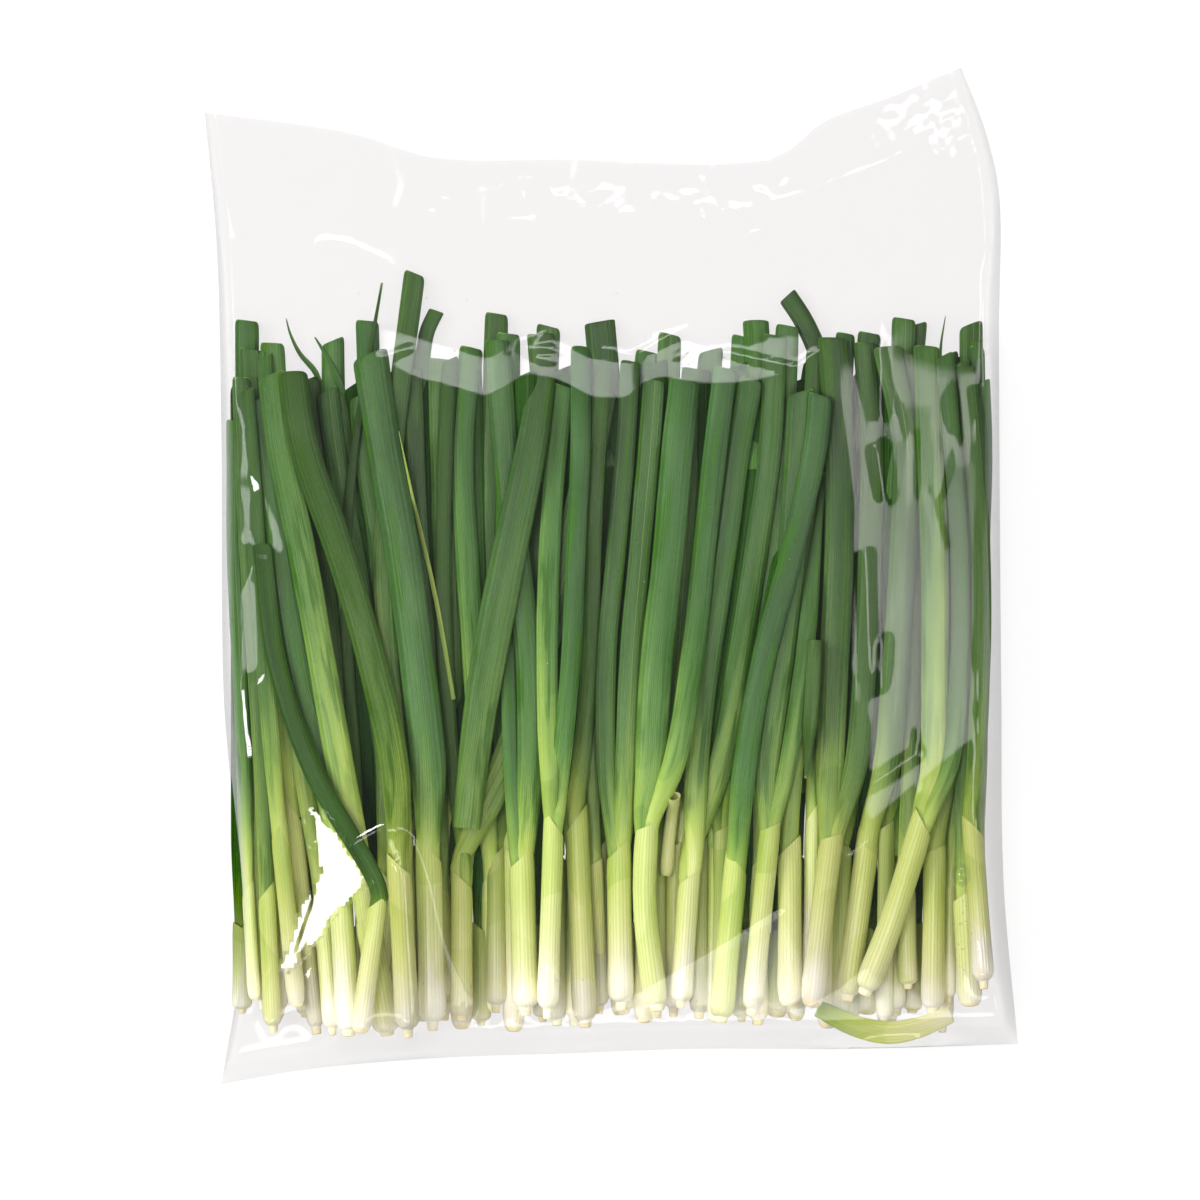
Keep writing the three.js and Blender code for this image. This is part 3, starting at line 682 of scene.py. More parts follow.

# %% Shine, a painted glow and relief of the skin
skin_bump = add_node(skin, "Bump", [("Strength", 0.35), ("Distance", 0.0004), ("Height", veins)])
# painted light: the pale root ends glow a little, which lifts the shade on them
skin_shader = add_node(skin, "BsdfPrincipled", [
    ("Base Color", brighter), ("Roughness", spread(skin, leafy, 0, 1, 0.3, 0.44)),
    ("Specular IOR Level", spread(skin, tone_value, -0.5, 0.1, 0.08, 0.45)),
    ("Emission Color", brighter), ("Emission Strength", spread(skin, ripe_value, 0.03, 0.13, 0.19, 0)),
    ("Normal", skin_bump.outputs[0])])
add_node(skin, "OutputMaterial", [("Surface", skin_shader.outputs[0])])
print("onion skin has", len(skin.node_tree.nodes), "nodes")

# %% [markdown]
# ## Building the onions
# Every onion is one piece: its shank and its leaves joined. It rides with the bag and stands for its
# measured solid.

# %% How ripe each place is, and how it wanders
chance = random.Random(5)
SHANK_END, LEAF_GAIN, LEAF_HIDDEN, ROOT_PLUG = (0.34, 0.52), (0.02, 0.2), 6 * MM, 2.6 * MM


def shank_ripeness(length, paleness, shank_end=0.44):
    def ripe(distance):
        if distance < ROOT_PLUG:
            return 0
        return 0.05 + (shank_end - 0.05) * smoothstep(distance / length, paleness - 0.2, 0.8)
    return ripe


def leaf_ripeness(scale, start=0.56):
    def ripe(distance):
        return start + (1 - start) * (1 - math.exp(-max(0, distance - LEAF_HIDDEN) / scale))
    return ripe


def wander(count, amount, waves=2.5):
    """A slow random drift along a strand."""
    phase = [chance.uniform(0, 2 * math.pi) for _ in range(3)]
    at = np.linspace(0, 1, count)
    drift = sum(np.sin(2 * math.pi * waves * k * at + phase[k - 1]) / k for k in (1, 2, 3))
    return amount * drift / 1.8


# %% One onion from its shank and its leaves
def join_parts(name, parts):
    """Makes the shank and leaves of one onion a single piece that lies in the bag."""
    clear_selection()
    for part in parts:
        part.select_set(True)
    bpy.context.view_layer.objects.active = parts[0]
    if len(parts) > 1:
        bpy.ops.object.join()
    piece = parts[0]
    piece.name = name
    piece.data.materials.clear()
    piece.data.materials.append(skin)
    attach(piece, "root")
    return piece


def build_onion(name, node, shape):
    tree = tree_over([nodes[node]])
    thickness = shape["thickness"]
    line, far = smooth_line(shape["shank"])
    heights = shank_heights(tree, line, far)
    tone = chance.random()
    paleness = chance.uniform(-0.05, 0.42)
    shank_end = chance.uniform(*SHANK_END)
    radii = np.full(len(line), thickness / 2 / SHANK_HALF)
    parts = [lay_strand(name, chance.choice(SHANKS), line, far, heights, radii,
                        np.zeros(len(line)), shank_ripeness(far[-1], paleness, shank_end), 0.0, tone)]
    twins = len(shape["leaves"]) > 1
    for index, one in enumerate(shape["leaves"]):
        shift = (thickness * LEAF_SPREAD * (1 if index else -1)) if twins else 0
        places = leaf_places(one, (line, far), thickness, shift)
        route, leaf_far = smooth_line(places)
        low, top = feel(tree, route)
        half = one["width"] / 2
        opened = opening(leaf_far)
        first = min(half, thickness * (0.34 if twins else 0.44))
        half_width = (first + (half - first) * opened) * (1 + wander(len(route), 0.03))
        half_thick = (first * 0.7 + (half * FLATNESS - first * 0.7) * opened) * MM
        middle = (low + top) / 2
        if twins:
            middle = low + half_thick if index == 0 else top - half_thick
        leaf_heights = smooth_heights(middle)
        blend_in = np.array([smoothstep(d / MM, 2, 16) for d in leaf_far])
        shank_level = np.interp(far[-1] - LEAF_ROOT_DEPTH * MM + leaf_far, far, heights)
        leaf_heights = shank_level * (1 - blend_in) + leaf_heights * blend_in
        kind = "pointed" if one["pointed"] else chance.choice(("plain", "plain", "slanted", "creased"))
        leaf_tone = min(1, max(0, tone + chance.uniform(-0.25, 0.25)))
        green = leaf_ripeness(chance.uniform(0.03, 0.15), shank_end + chance.uniform(*LEAF_GAIN))
        if one["dark"]:
            leaf_tone, green = -0.1, leaf_ripeness(0.01, 0.75)
        parts.append(lay_strand(
            name + "_leaf", LEAVES[kind], route, leaf_far, leaf_heights, half_width / LEAF_HALF,
            wander(len(route), 0.1, 1.2), green, far[-1] - LEAF_ROOT_DEPTH * MM, leaf_tone))
    piece = join_parts(name, parts)
    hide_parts(node)
    return piece


# %% Build the lower layer and the onions on top
strands = []
for index, shape in enumerate(BACK_ONIONS):
    strands.append(build_onion(f"back_spring_onion_{index + 1:02d}", f"back_onion_{index + 1:02d}",
                               shape))
for index, shape in enumerate(ONIONS):
    strands.append(build_onion(f"spring_onion_{index + 1:02d}", f"onion_{index + 1:02d}",
                               shape))
print("onions built:", len(strands))

# %% [markdown]
# ## Filling the bunch
# A real bunch is packed several onions deep, and the layers seen so far leave room between them.
# More onions are slipped in there by rule: each rests on the lower layer and stays under the upper
# one, so only glimpses of it show.

# %% Heights between the two layers
FILM_FLOOR = 1.3 * MM
FILLER_PALENESS, FILLER_FLATNESS = 0.2, 0.4
lower_layer = tree_over([nodes[name] for name in nodes if name.startswith("back_onion")])
upper_layer = tree_over([nodes[name] for name in nodes if name.startswith("onion")])


def slip_in(line, half_width, half_thick):
    """Heights for a strand that rests on the lower layer and stays under the upper one."""
    heights = []
    for (x, y), wide, thick in zip(line, half_width, half_thick):
        floor_level, roof = FILM_FLOOR, 1.0
        for dx in (-wide, -wide / 2, 0, wide / 2, wide):
            hit = drop_on(lower_layer, x + dx, y)
            floor_level = max(floor_level, hit.z if hit else 0)
            hit = rise_to(upper_layer, x + dx, y)
            roof = min(roof, hit.z if hit else 1.0)
        heights.append(max(min(floor_level + thick, roof - thick), FILM_FLOOR + thick))
    return smooth_heights(np.array(heights), 10)


# %% A shank and a leaf that find their own height
def filler_shank(name, line, far, half_width, tone):
    """A shank between the layers: it takes the height it finds there, but stays straight."""
    wide = np.full(len(line), half_width * MM)
    heights = np.polyval(np.polyfit(far, slip_in(line, wide, wide), 1), far)
    return lay_strand(name, chance.choice(SHANKS), line, far, heights, wide / (SHANK_HALF * MM),
                      np.zeros(len(line)), shank_ripeness(far[-1], FILLER_PALENESS), 0.0, tone)


def filler_leaf(name, kind, places, halves, scale, start, tone):
    """A leaf between the layers. Halves are its half width at the neck and what it gains."""
    route, far = smooth_line(places)
    half = (halves[0] + halves[1] * opening(far)) * MM
    heights = slip_in(route, half, half * FILLER_FLATNESS)
    return lay_strand(name + "_leaf", LEAVES[kind], route, far, heights, half / (LEAF_HALF * MM),
                      np.zeros(len(route)), leaf_ripeness(scale), start, tone)


# %% Slip more onions in between the two layers
FILL_COUNT = 13
FILL_REACH, FILL_LEAF_REACH = (-150, 152), (-152, 150)
FILL_LEVELS = ((0.1, -80), (0.4, -35), (0.65, 10), (0.85, 55))
LEAF_SHIFT = 6


def fill_onion(index):
    """One onion of the middle layer, with two leaves that lean as their neighbours do."""
    low, high = FILL_REACH
    x = low + (high - low) * ((index + 0.5) / FILL_COUNT) + chance.uniform(-4, 4)
    lean = 26 * math.sin(math.pi * (x + 60) / 220) + chance.uniform(-8, 8)
    thickness = chance.uniform(7, 9)
    root = [x, chance.uniform(-190, -180)]
    line, far = smooth_line([root, [x + lean * 0.05, chance.uniform(-120, -95)]])
    name = f"middle_spring_onion_{index + 1:02d}"
    # a low tone paints this onion darker, as painted shade of the pile
    tone = chance.uniform(-0.6, 0.1)
    parts = [filler_shank(name, line, far, thickness / 2, tone)]
    start, neck = line[-3] / MM, line[-1] / MM
    for shift in (-LEAF_SHIFT, LEAF_SHIFT):
        levels = [*FILL_LEVELS, (1, chance.uniform(74, 92))]
        places = [[min(max(x + lean * part + shift * (0.6 + part), FILL_LEAF_REACH[0]),
                       FILL_LEAF_REACH[1]), y] for part, y in levels]
        parts.append(filler_leaf(name, "plain", [start, [neck[0] + shift * 0.3, neck[1]], *places],
                                 (3, 2.2), 0.045, far[-1], tone))
    return join_parts(name, parts)


for index in range(FILL_COUNT):
    strands.append(fill_onion(index))
print("onions in between:", FILL_COUNT)

# %% [markdown]
# ## Closing the gaps
# Where the pile is thin the table would still show through, which a full bag never does. The
# places that are still open are counted from above, level by level. Then a thin onion is laid along
# the line that covers the most of them, and again, until hardly any are left.

# %% Find the open places
GAP_COUNT, GAP_STEP, GAP_DRIFT, GAP_HALF = 30, 6, 1, 4
DRIFT_COST, LEAST_GAIN = 0.02, 2
gap_x = np.arange(-156, 153, 1.0)
gap_y = np.arange(-176, 86, GAP_STEP)


def open_places():
    """At each level, 1 where no onion covers the table and 0 where one does."""
    tree = tree_over(strands)
    return np.array([[drop_on(tree, x * MM, y * MM) is None for x in gap_x] for y in gap_y], float)


def best_route(opened):
    """The line from bottom to top that runs over the most open places, drifting slowly."""
    window = np.ones(2 * GAP_HALF - 1)
    gain = np.array([np.convolve(row, window, mode="same") for row in opened])
    total, came = gain[0].copy(), []
    places = np.arange(len(gap_x))
    for row in gain[1:]:
        moves = np.arange(-GAP_DRIFT, GAP_DRIFT + 1)
        source = np.clip(places[:, None] - moves, 0, len(gap_x) - 1)
        reached = total[source] - DRIFT_COST * np.abs(moves)
        best = reached.argmax(axis=1)
        came.append(source[places, best])
        total = row + reached[places, best]
    index = int(total.argmax())
    value, route = total[index], [index]
    for source in reversed(came):
        route.append(int(source[route[-1]]))
    return value, gap_x[route[::-1]]


opened = open_places()
print("open places before:", int(opened.sum()))


# %% Lay a thin onion along each gap
def gap_onion(index, route_x):
    """A thin onion along a line of open places, with its neck low or high."""
    places = list(zip(route_x, gap_y))
    neck = 6 if chance.random() < 0.6 else 12
    root = [places[0][0], chance.uniform(-190, -183)]
    line, far = smooth_line([root, *places[2:neck:3]])
    # a low tone paints this onion darker, as painted shade of the pile
    tone = chance.uniform(-0.8, -0.3)
    name = f"middle_spring_onion_{FILL_COUNT + index + 1:02d}"
    parts = [filler_shank(name, line, far, GAP_HALF, tone)]
    tip = [route_x[-1], chance.uniform(78, 92)]
    route = [line[-3] / MM, line[-1] / MM, *places[neck + 1:-3:4], tip]
    parts.append(filler_leaf(name, "slanted", route, (3.2, 1.6), 0.02, far[-1], tone))
    return join_parts(name, parts)


gap_fillers = []
for index in range(GAP_COUNT):
    value, route_x = best_route(opened)
    if value < LEAST_GAIN:
        break
    for row, x in zip(opened, route_x):
        row[np.abs(gap_x - x) < GAP_HALF] = 0
    gap_fillers.append(gap_onion(index, route_x))
strands += gap_fillers
print("gap fillers:", len(gap_fillers), "open places after:", int(open_places().sum()))

# %% [markdown]
# ## Leaf ends
# Some ends stick out past the others, curled and thin or broad and cut. They belong to onions
# buried in the pile, so only the last stretch of each is built, slipped in or laid on top. Two
# pale stubs and one leaf's pale edge are made the same way.

# %% Leaf ends and bits
# width, kind, ripeness, 1 where it lies on top, and its places
ENDS = [
    (2.4, "pointed", 0.85, 0,
     [(-118, 57), (-121.6, 74), (-125, 86), (-131.7, 94), (-136, 103), (-137.5, 109)]),
    (3.4, "pointed", 1.0, 0, [(-109, 53), (-112, 70), (-115, 81.5), (-121, 94), (-125.4, 101)]),
    (6.5, "slanted", 0.95, 0, [(-84, 65), (-80.4, 86.5), (-78, 103), (-73.7, 112.5)]),
    (11.4, "plain", 0.95, 0, [(-27, 40), (-28, 74), (-30, 102.5)]),
    (13, "slanted", 1.0, 0, [(0, 45), (-2, 74), (-5, 108)]),
    (11, "plain", 0.9, 0, [(63, 45), (62.4, 78), (61, 108)]),
    (8.4, "slanted", 1.0, 0, [(97, 49), (88.4, 90.7), (81.7, 107), (74, 119)]),
    (1.8, "pointed", 0.9, 0, [(138, 49), (139, 95), (141.3, 110)]),
    (5, "plain", 0.95, 0, [(152, 45), (153, 74), (154, 99)]),
    (6, "slanted", 0.95, 0, [(154, 40), (155, 65), (154.5, 88)]),
    (3.4, "slanted", 0.95, 0, [(-146, 40), (-147, 74), (-147, 95)]),
    (1.9, "pointed", 0.6, 1, [(-66.5, -52), (-74, -10), (-81.6, 23.5), (-89.5, 61)]),
    (5.4, "stub", 0.24, 1, [(23, -126.5), (24.4, -110), (26.5, -92)]),
    (6.3, "pointed", 0.9, 1, [(85.5, -27), (84, -55), (81.7, -85)]),
    (5, "stub", 0.07, 0, [(116, -187), (115.5, -165)]),
]


END_STEP, END_FLATNESS = 3 * MM, 0.35
STUB_SHAPE = SHANKS[4]


def triangles(pieces):
    return sum(len(p.vertices) - 2 for piece in pieces for p in piece.data.polygons)


def on_top(tree, line, half_width, half_thick):
    """Heights for a strand that lies on whatever is highest below it."""
    heights = []
    for (x, y), wide, thick in zip(line, half_width, half_thick):
        hits = [drop_on(tree, x + dx, y) for dx in (-wide, 0, wide)]
        heights.append(max([hit.z for hit in hits if hit] + [FILM_FLOOR]) + thick)
    return smooth_heights(np.array(heights), 4)


for index, (width, kind, ripe, top, places) in enumerate(ENDS):
    route, far = smooth_line(places, END_STEP)
    half = np.full(len(route), width / 2 * MM)
    thick = half * END_FLATNESS
    heights = on_top(tree_over(strands), route, half, thick) if top else slip_in(route, half, thick)
    name = f"leaf_end_{index + 1:02d}"
    template = STUB_SHAPE if kind == "stub" else LEAVES[kind]
    end = lay_strand(name, template, route, far, heights, half / (LEAF_HALF * MM),
                     np.zeros(len(route)), lambda d, ripe=ripe: ripe, 0.0, chance.uniform(0, 0.8))
    strands.append(join_parts(name, [end]))
print("leaf ends:", len(ENDS))
print("strands in all:", len(strands), "triangles", triangles(strands))

# %% [markdown]
# ## Loose leaves
# A wide flat leaf lies free over the bunch, and a torn scrap lies by the seam. Both are bent from
# the plain leaf along their own routes. The scrap is then pressed flatter, as film and onions do.

# %% Loose leaf and scrap
# width, places, ripeness from end to end, and how much its tone may differ from the plain one
LOOSE = {
    "loose_leaf": (15, [[-61, -106], [-55, -55], [-44, 5], [-33, 58], [-29, 85]], 0.72, 1.0, 1),
    "leaf_scrap": (9.5, [[87, -182], [102, -189], [116, -192], [128, -190], [143, -184]],
                   0.68, 0.16, 0),
}
SCRAP_PRESSED = 0.4


def build_loose(node, width, places, ripe_from, ripe_to, tone_reach):
    route, far = smooth_line(places)
    low, top = feel(tree_over([nodes[node]]), route)
    half = width / 2 * (0.75 + 0.25 * np.sin(math.pi * far / far[-1]))
    tone = tone_reach * chance.random()
    return lay_strand("free_" + node, LEAVES["plain"], route, far, smooth_heights((low + top) / 2),
                      half / LEAF_HALF, wander(len(route), 0.05, 1),
                      lambda d: ripe_from + (ripe_to - ripe_from) * d / far[-1], 0, tone)


def press_flat(piece, share):
    """Presses a lying leaf flatter, about its own middle height."""
    middle = sum(v.co.z for v in piece.data.vertices) / len(piece.data.vertices)
    clear_selection()
    piece.select_set(True)
    bpy.context.view_layer.objects.active = piece
    bpy.ops.object.mode_set(mode="EDIT")
    bpy.ops.mesh.select_all(action="SELECT")
    bpy.ops.transform.resize(value=(1, 1, share), center_override=(0, 0, middle))
    bpy.ops.object.mode_set(mode="OBJECT")


for node, settings in LOOSE.items():
    piece = build_loose(node, *settings)
    if node == "leaf_scrap":
        press_flat(piece, SCRAP_PRESSED)
    piece.data.materials.append(skin)
    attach(piece, "root")
    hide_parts(node)
    strands.append(piece)
print("loose pieces:", len(LOOSE))

# %% [markdown]
# ## The film bag
# The bag is a tube of thin film, welded across the bottom and open at the top. Its upper sheet is
# laid over the finished onions like a stretched skin: a fine grid is pulled flat between its
# edges, and held up wherever an onion is in the way.

# %% The outline of the bag
BAG_LEFT = [[-165, -215], [-157, -160], [-160, -100], [-164, -50], [-165, 60], [-167, 140], [-172, 196]]
BAG_RIGHT = [[172, -198], [166, -130], [165, -50], [164, 100], [164, 162], [158, 189], [148, 215]]
BAG_SEAM = [[-165, -215], [-131, -209], [-76, -204], [-22, -202], [37, -200], [100, -200], [172, -198]]
BAG_MOUTH = [[-172, 196], [-110, 187], [-76, 177], [-22, 176], [69, 177], [90, 192], [117, 202], [148, 215]]


def bag_plan(columns, rows):
    """Places filled in between the four edges of the bag, row by row from the seam."""
    across = [smooth_line(edge, 1 * MM) for edge in (BAG_SEAM, BAG_MOUTH)]
    along = [smooth_line(edge, 1 * MM) for edge in (BAG_LEFT, BAG_RIGHT)]
    u, v = np.meshgrid(np.linspace(0, 1, columns), np.linspace(0, 1, rows))

    def at(edge, share):
        line, far = edge
        return np.stack([np.interp(share * far[-1], far, line[:, k]) for k in (0, 1)], axis=-1)

    seam, mouth, left, right = at(across[0], u), at(across[1], u), at(along[0], v), at(along[1], v)
    u, v = u[..., None], v[..., None]
    corners = ((1 - u) * (1 - v) * left[0, 0] + u * (1 - v) * right[0, 0]
               + (1 - u) * v * left[-1, 0] + u * v * right[-1, 0])
    return seam * (1 - v) + mouth * v + left * (1 - u) + right * u - corners


# %% [markdown]
# ## What holds the film up
# The film touches only the highest onions. So the top of the pile is felt at each place of a fine
# grid, and helpers stretch, spread and soften a field of heights, as a taut sheet would.

# %% The height of the pile under the film
FILM_STEP = 1.7 * MM
FILM_COLUMNS, FILM_ROWS = round(0.335 / FILM_STEP), round(0.405 / FILM_STEP)
FILM_AIR = 0.3 * MM
EDGE_HEIGHT = 0.5 * MM


def pile_heights(plan):
    """The highest onion under each place of the film."""
    tree = tree_over(strands)
    heights = np.zeros(plan.shape[:2])
    for place in np.ndindex(heights.shape):
        hit = drop_on(tree, *plan[place])
        heights[place] = hit.z if hit is not None else 0
    return heights


# %% Helpers for a field of heights
def spread_along(values, reach, axis, join):
    """Joins each value with its neighbours up to a reach away, along one axis."""
    margins = [(reach, reach) if k == axis else (0, 0) for k in (0, 1)]
    padded = np.pad(values, margins, mode="edge")
    windows = np.lib.stride_tricks.sliding_window_view(padded, 2 * reach + 1, axis=axis)
    return join(windows, axis=-1)


def taut_over(places, values):
    """The line of a thread pulled tight over a row of heights."""
    kept = []
    for point in zip(places, values):
        while len(kept) > 1:
            (x1, z1), (x2, z2) = kept[-2:]
            if (z2 - z1) * (point[0] - x1) > (point[1] - z1) * (x2 - x1):
                break
            kept.pop()
        kept.append(point)
    return np.interp(places, [x for x, _ in kept], [z for _, z in kept])


def soften_over(values, reach_mm):
    """Each height becomes the mean of its neighbours, twice."""
    reach = max(1, round(reach_mm * MM / FILM_STEP))
    for _ in range(2):
        for axis in (0, 1):
            values = spread_along(values, reach, axis, np.mean)
    return values


plan = bag_plan(FILM_COLUMNS, FILM_ROWS)
pile = pile_heights(plan) + FILM_AIR
film_x, film_y = plan[..., 0] / MM, plan[..., 1] / MM
print("pile", round(pile.max() / MM, 1), "mm high, film grid", plan.shape[:2])

# %% [markdown]
# The film is stiffer than cloth. It lies over the highest leaves in one smooth sweep, falls away
# steeply at the sides and at the seam, and past the cut leaf ends it comes down to the table in
# two slopes, of which the first catches the light. Folds are added on top as low ridges.

# %% The sweep of the film
TIP_LINE = [(-175, 99), (-112, 97), (-97, 88), (-89, 84), (-72, 79), (-52, 73), (-35, 83),
            (-23, 81), (-9, 73), (8, 73), (13, 79), (20, 82), (37, 79), (53, 79), (70, 82),
            (88, 90), (110, 97), (175, 99)]
FIRST_FALL, FIRST_REACH, SECOND_FALL = 0.32, 19, 0.19
LEFT_SIDE_FALL, RIGHT_SIDE_FALL = 8.0, 4.0
KNEES = [(-175, 11), (-20, 11), (14, 28), (43, 45), (71, 63), (80, 42), (87, 20), (105, 36),
         (130, 24), (150, 11), (175, 11)]
SEAM_STEP, SEAM_VEIL, SEAM_AFTER = 11, 0.285, 0.23
SEAM_RISE = [(-175, 19), (-40, 19), (104, 26), (175, 26)]
LEVEL, END_FALL, END_FROM = 48, 0.14, -40
COVER_REACH, CLOSE_REACH, CLOSE_SOFT = 9, 5, 6
CATCH_LEFT, CATCH_RIGHT, CATCH_FADE = -120, 104, 36
# a band where the film leans to one side: the side it falls to, how steeply, and at each y the
# two places in x between which it falls
LEANS = [
    (1, 0.2, [(-60, 99, 105), (0, 100, 106), (31, 101, 108), (60, 97.5, 106), (89, 93, 103),
              (118, 91, 98)]),
    (1, 0.2, [(-116, 99, 99), (-100, 103, 115), (-89, 104, 128), (-81, 105, 136), (-64, 106, 156),
              (-48, 107, 160), (118, 109, 160)]),
    (-1, 0.25, [(-46, -145, -154), (-35, -146, -155), (13, -148.5, -158), (39, -151.5, -160.5),
                (76, -154, -162)]),
    (-1, 0.25, [(4, -135, -141.5), (14, -136, -142.5), (24, -138.5, -145), (44, -147, -151.5)]),
]
LEAN_START, LEAN_END = 8, 45


def table_of(x, pairs):
    return np.interp(x, [a for a, _ in pairs], [b for _, b in pairs])


# %% Pull the sheet tight over the pile
# it is never lower than its level over the leaves
tip_y = table_of(film_x, TIP_LINE)
beyond = film_y - tip_y
level = LEVEL - END_FALL * np.clip(film_y - END_FROM, 0, None)
cover = np.maximum(pile / MM, level)
cover = np.array([taut_over(xs, zs) for xs, zs in zip(film_x, cover)])
cover = np.maximum(soften_over(cover, COVER_REACH), level)
print("pulled tight", round(cover.max(), 1), "mm high")

# %% Let it fall past the leaf ends
tip_row = np.abs(beyond).argmin(axis=0)
tip_height = cover[tip_row, np.arange(FILM_COLUMNS)][None, :]
past = np.clip(beyond, 0, None)
catching = (np.clip((film_x - CATCH_LEFT) / CATCH_FADE, 0, 1)
            * np.clip((CATCH_RIGHT - film_x) / CATCH_FADE, 0, 1))
first_fall = SECOND_FALL + (FIRST_FALL - SECOND_FALL) * catching
fallen = (first_fall * np.minimum(past, FIRST_REACH)
          + SECOND_FALL * np.clip(past - FIRST_REACH, 0, None))
sweep = np.where(beyond > 0, tip_height - fallen, cover)
print("falls", round(float(fallen.max()), 1), "mm at most past the leaf ends")

# %% Lean it to the sides in bands
for side, slope, band in LEANS:
    levels = [y for y, _, _ in band]
    start, end = [np.interp(film_y, levels, [row[k] for row in band]) for k in (1, 2)]
    fade = (np.clip((film_y - levels[0]) / LEAN_START, 0, 1)
            * np.clip((levels[-1] - film_y) / (LEAN_END if side > 0 else LEAN_START), 0, 1))
    sweep -= slope * fade * np.clip(side * (film_x - start), 0, side * (end - start))
print("bands that lean:", len(LEANS))

# %% Bring it down to the three closed edges
side_limit = EDGE_HEIGHT / MM + np.minimum(LEFT_SIDE_FALL * (film_x - film_x[:, :1]),
                                           RIGHT_SIDE_FALL * (film_x[:, -1:] - film_x))
seam_gap = film_y - film_y[:1]
knee = table_of(film_x, KNEES)
seam_limit = (EDGE_HEIGHT / MM + table_of(film_x, SEAM_RISE) * np.clip(seam_gap / SEAM_STEP, 0, 1)
              + SEAM_VEIL * np.clip(np.minimum(seam_gap, knee) - SEAM_STEP, 0, None)
              + SEAM_AFTER * np.clip(seam_gap - knee, 0, None))
limit = np.minimum(side_limit, seam_limit)
close = pile / MM
for axis in (0, 1):
    close = spread_along(close, max(1, round(CLOSE_REACH * MM / FILM_STEP)), axis, np.max)
sweep = np.maximum(np.minimum(sweep, limit), soften_over(close, CLOSE_SOFT))
sweep = np.minimum(sweep, side_limit)


def soften(values, passes):
    """Each height moves halfway to the mean of its four neighbours, again and again."""
    for _ in range(passes):
        values[1:-1, 1:-1] = (values[1:-1, 1:-1] * 4 + values[:-2, 1:-1] + values[2:, 1:-1]
                              + values[1:-1, :-2] + values[1:-1, 2:]) / 8
    return values


sweep = np.maximum(soften(np.maximum(sweep, pile / MM), 4), pile / MM)
sweep[0, :] = sweep[:, 0] = sweep[:, -1] = EDGE_HEIGHT / MM
print("sweep", round(sweep.max(), 1), "mm high")

# %% [markdown]
# ## Folds
# Film has no weave: it creases in straight, thin ridges, and where it is pushed together it
# crumples into many short ones. A tilted facet throws a sharp white patch of light. Long ridges are
# placed one by one, and the crumpled places are filled by chance.

# %% Facets and ridges
# a facet is a patch that tilts: its corners, and how steeply it rises in x and in y
FACETS = [
    ([(-128, -95), (-120, -98), (-101, -128), (-109, -135.7), (-117, -143), (-121.6, -152),
      (-127, -156), (-128.7, -160.4), (-137.5, -167), (-138, -162), (-134, -153), (-129, -135.7),
      (-124.5, -132), (-121.6, -123.5)], 0.113, -0.02),
]
# a ridge is a line with a half width and a height
RIDGES = [
    ([(112, 96), (113, 68)], 4.0, 0.9),
    ([(111.5, 52), (114, 34)], 4.6, 1.1),
    ([(106, 9), (107, -40)], 3.6, 0.8),
    ([(113, -28), (112, -46)], 4.2, 0.9),
    ([(107.5, -87), (116, -81.8), (127.5, -74)], 3.4, 1.25),
    ([(-122.5, -134), (-128, -150), (-130.5, -157)], 1.7, 0.22),
    ([(-135.5, -99.5), (-138.4, -128.5), (-143.5, -161), (-152.7, -182)], 1.5, 0.5),
    ([(-166, 168), (-159, 149), (-152, 131), (-145, 107)], 2.0, 0.6),
    ([(-127, 135), (-122, 141), (-111, 140), (-93.5, 132)], 2.0, 0.6),
    ([(18, 149), (58, 155.4), (81, 160.4), (119, 175), (147, 195)], 2.2, 0.25),
    ([(160.6, 147), (157, 133.6)], 1.6, 0.6),
    ([(-97, 91), (-84, 96)], 1.6, 0.5),
    ([(-38, 96), (-31, 91.5), (-24.5, 90)], 1.6, 0.5),
    ([(-5, 95), (8.6, 92), (32, 104)], 1.8, 0.6),
    ([(48, 94), (78, 87), (85, 93)], 1.8, 0.6),
    ([(99, -115), (128, -89)], 1.6, 0.5),
    ([(128, -64), (127.5, -72)], 1.4, 0.6),
    ([(-20, -191), (13.6, -173.5), (43.5, -156), (71, -138)], 1.5, 0.5),
    ([(78, -182), (95, -173), (105.6, -164)], 1.6, 0.6),
    ([(55.6, -183), (61, -180)], 1.6, 0.7),
]
print("facets:", len(FACETS), "ridges:", len(RIDGES))

# %% Crumpled places
# middle, reach, how many short folds, their length and height
CRUMPLES = [
    ((134, 187), (15, 9), 80, (2, 7), 0.5), ((-72, 154), (14, 12), 16, (5, 14), 0.4),
    ((-22, 156), (24, 9), 26, (5, 14), 0.4), ((43, 152), (38, 8), 34, (5, 14), 0.4),
    ((160, 141), (3, 14), 8, (4, 9), 0.5), ((35, -193), (115, 6), 60, (6, 16), 0.4),
    ((-152, 20), (5, 70), 12, (8, 26), 0.25), ((30, 97), (90, 6), 24, (5, 14), 0.35),
    ((128, 40), (22, 70), 6, (12, 40), 0.3), ((0, -60), (120, 90), 10, (8, 26), 0.12),
]
for (x, y), (reach_x, reach_y), count, lengths, height in CRUMPLES:
    for _ in range(count):
        x1, y1 = chance.gauss(x, reach_x / 1.6), chance.gauss(y, reach_y / 1.6)
        angle, length = chance.uniform(0, math.pi), chance.uniform(*lengths)
        if reach_x < reach_y:
            angle = math.pi / 2 + chance.uniform(-0.35, 0.35)
        x2, y2 = x1 + length * math.cos(angle), y1 + length * math.sin(angle)
        middle = ((x1 + x2) / 2 + chance.uniform(-1.5, 1.5), (y1 + y2) / 2 + chance.uniform(-1.5, 1.5))
        RIDGES.append(([(x1, y1), middle, (x2, y2)], chance.uniform(1.3, 2.2),
                       height * chance.uniform(0.4, 1)))
print("ridges with the crumpled places:", len(RIDGES))


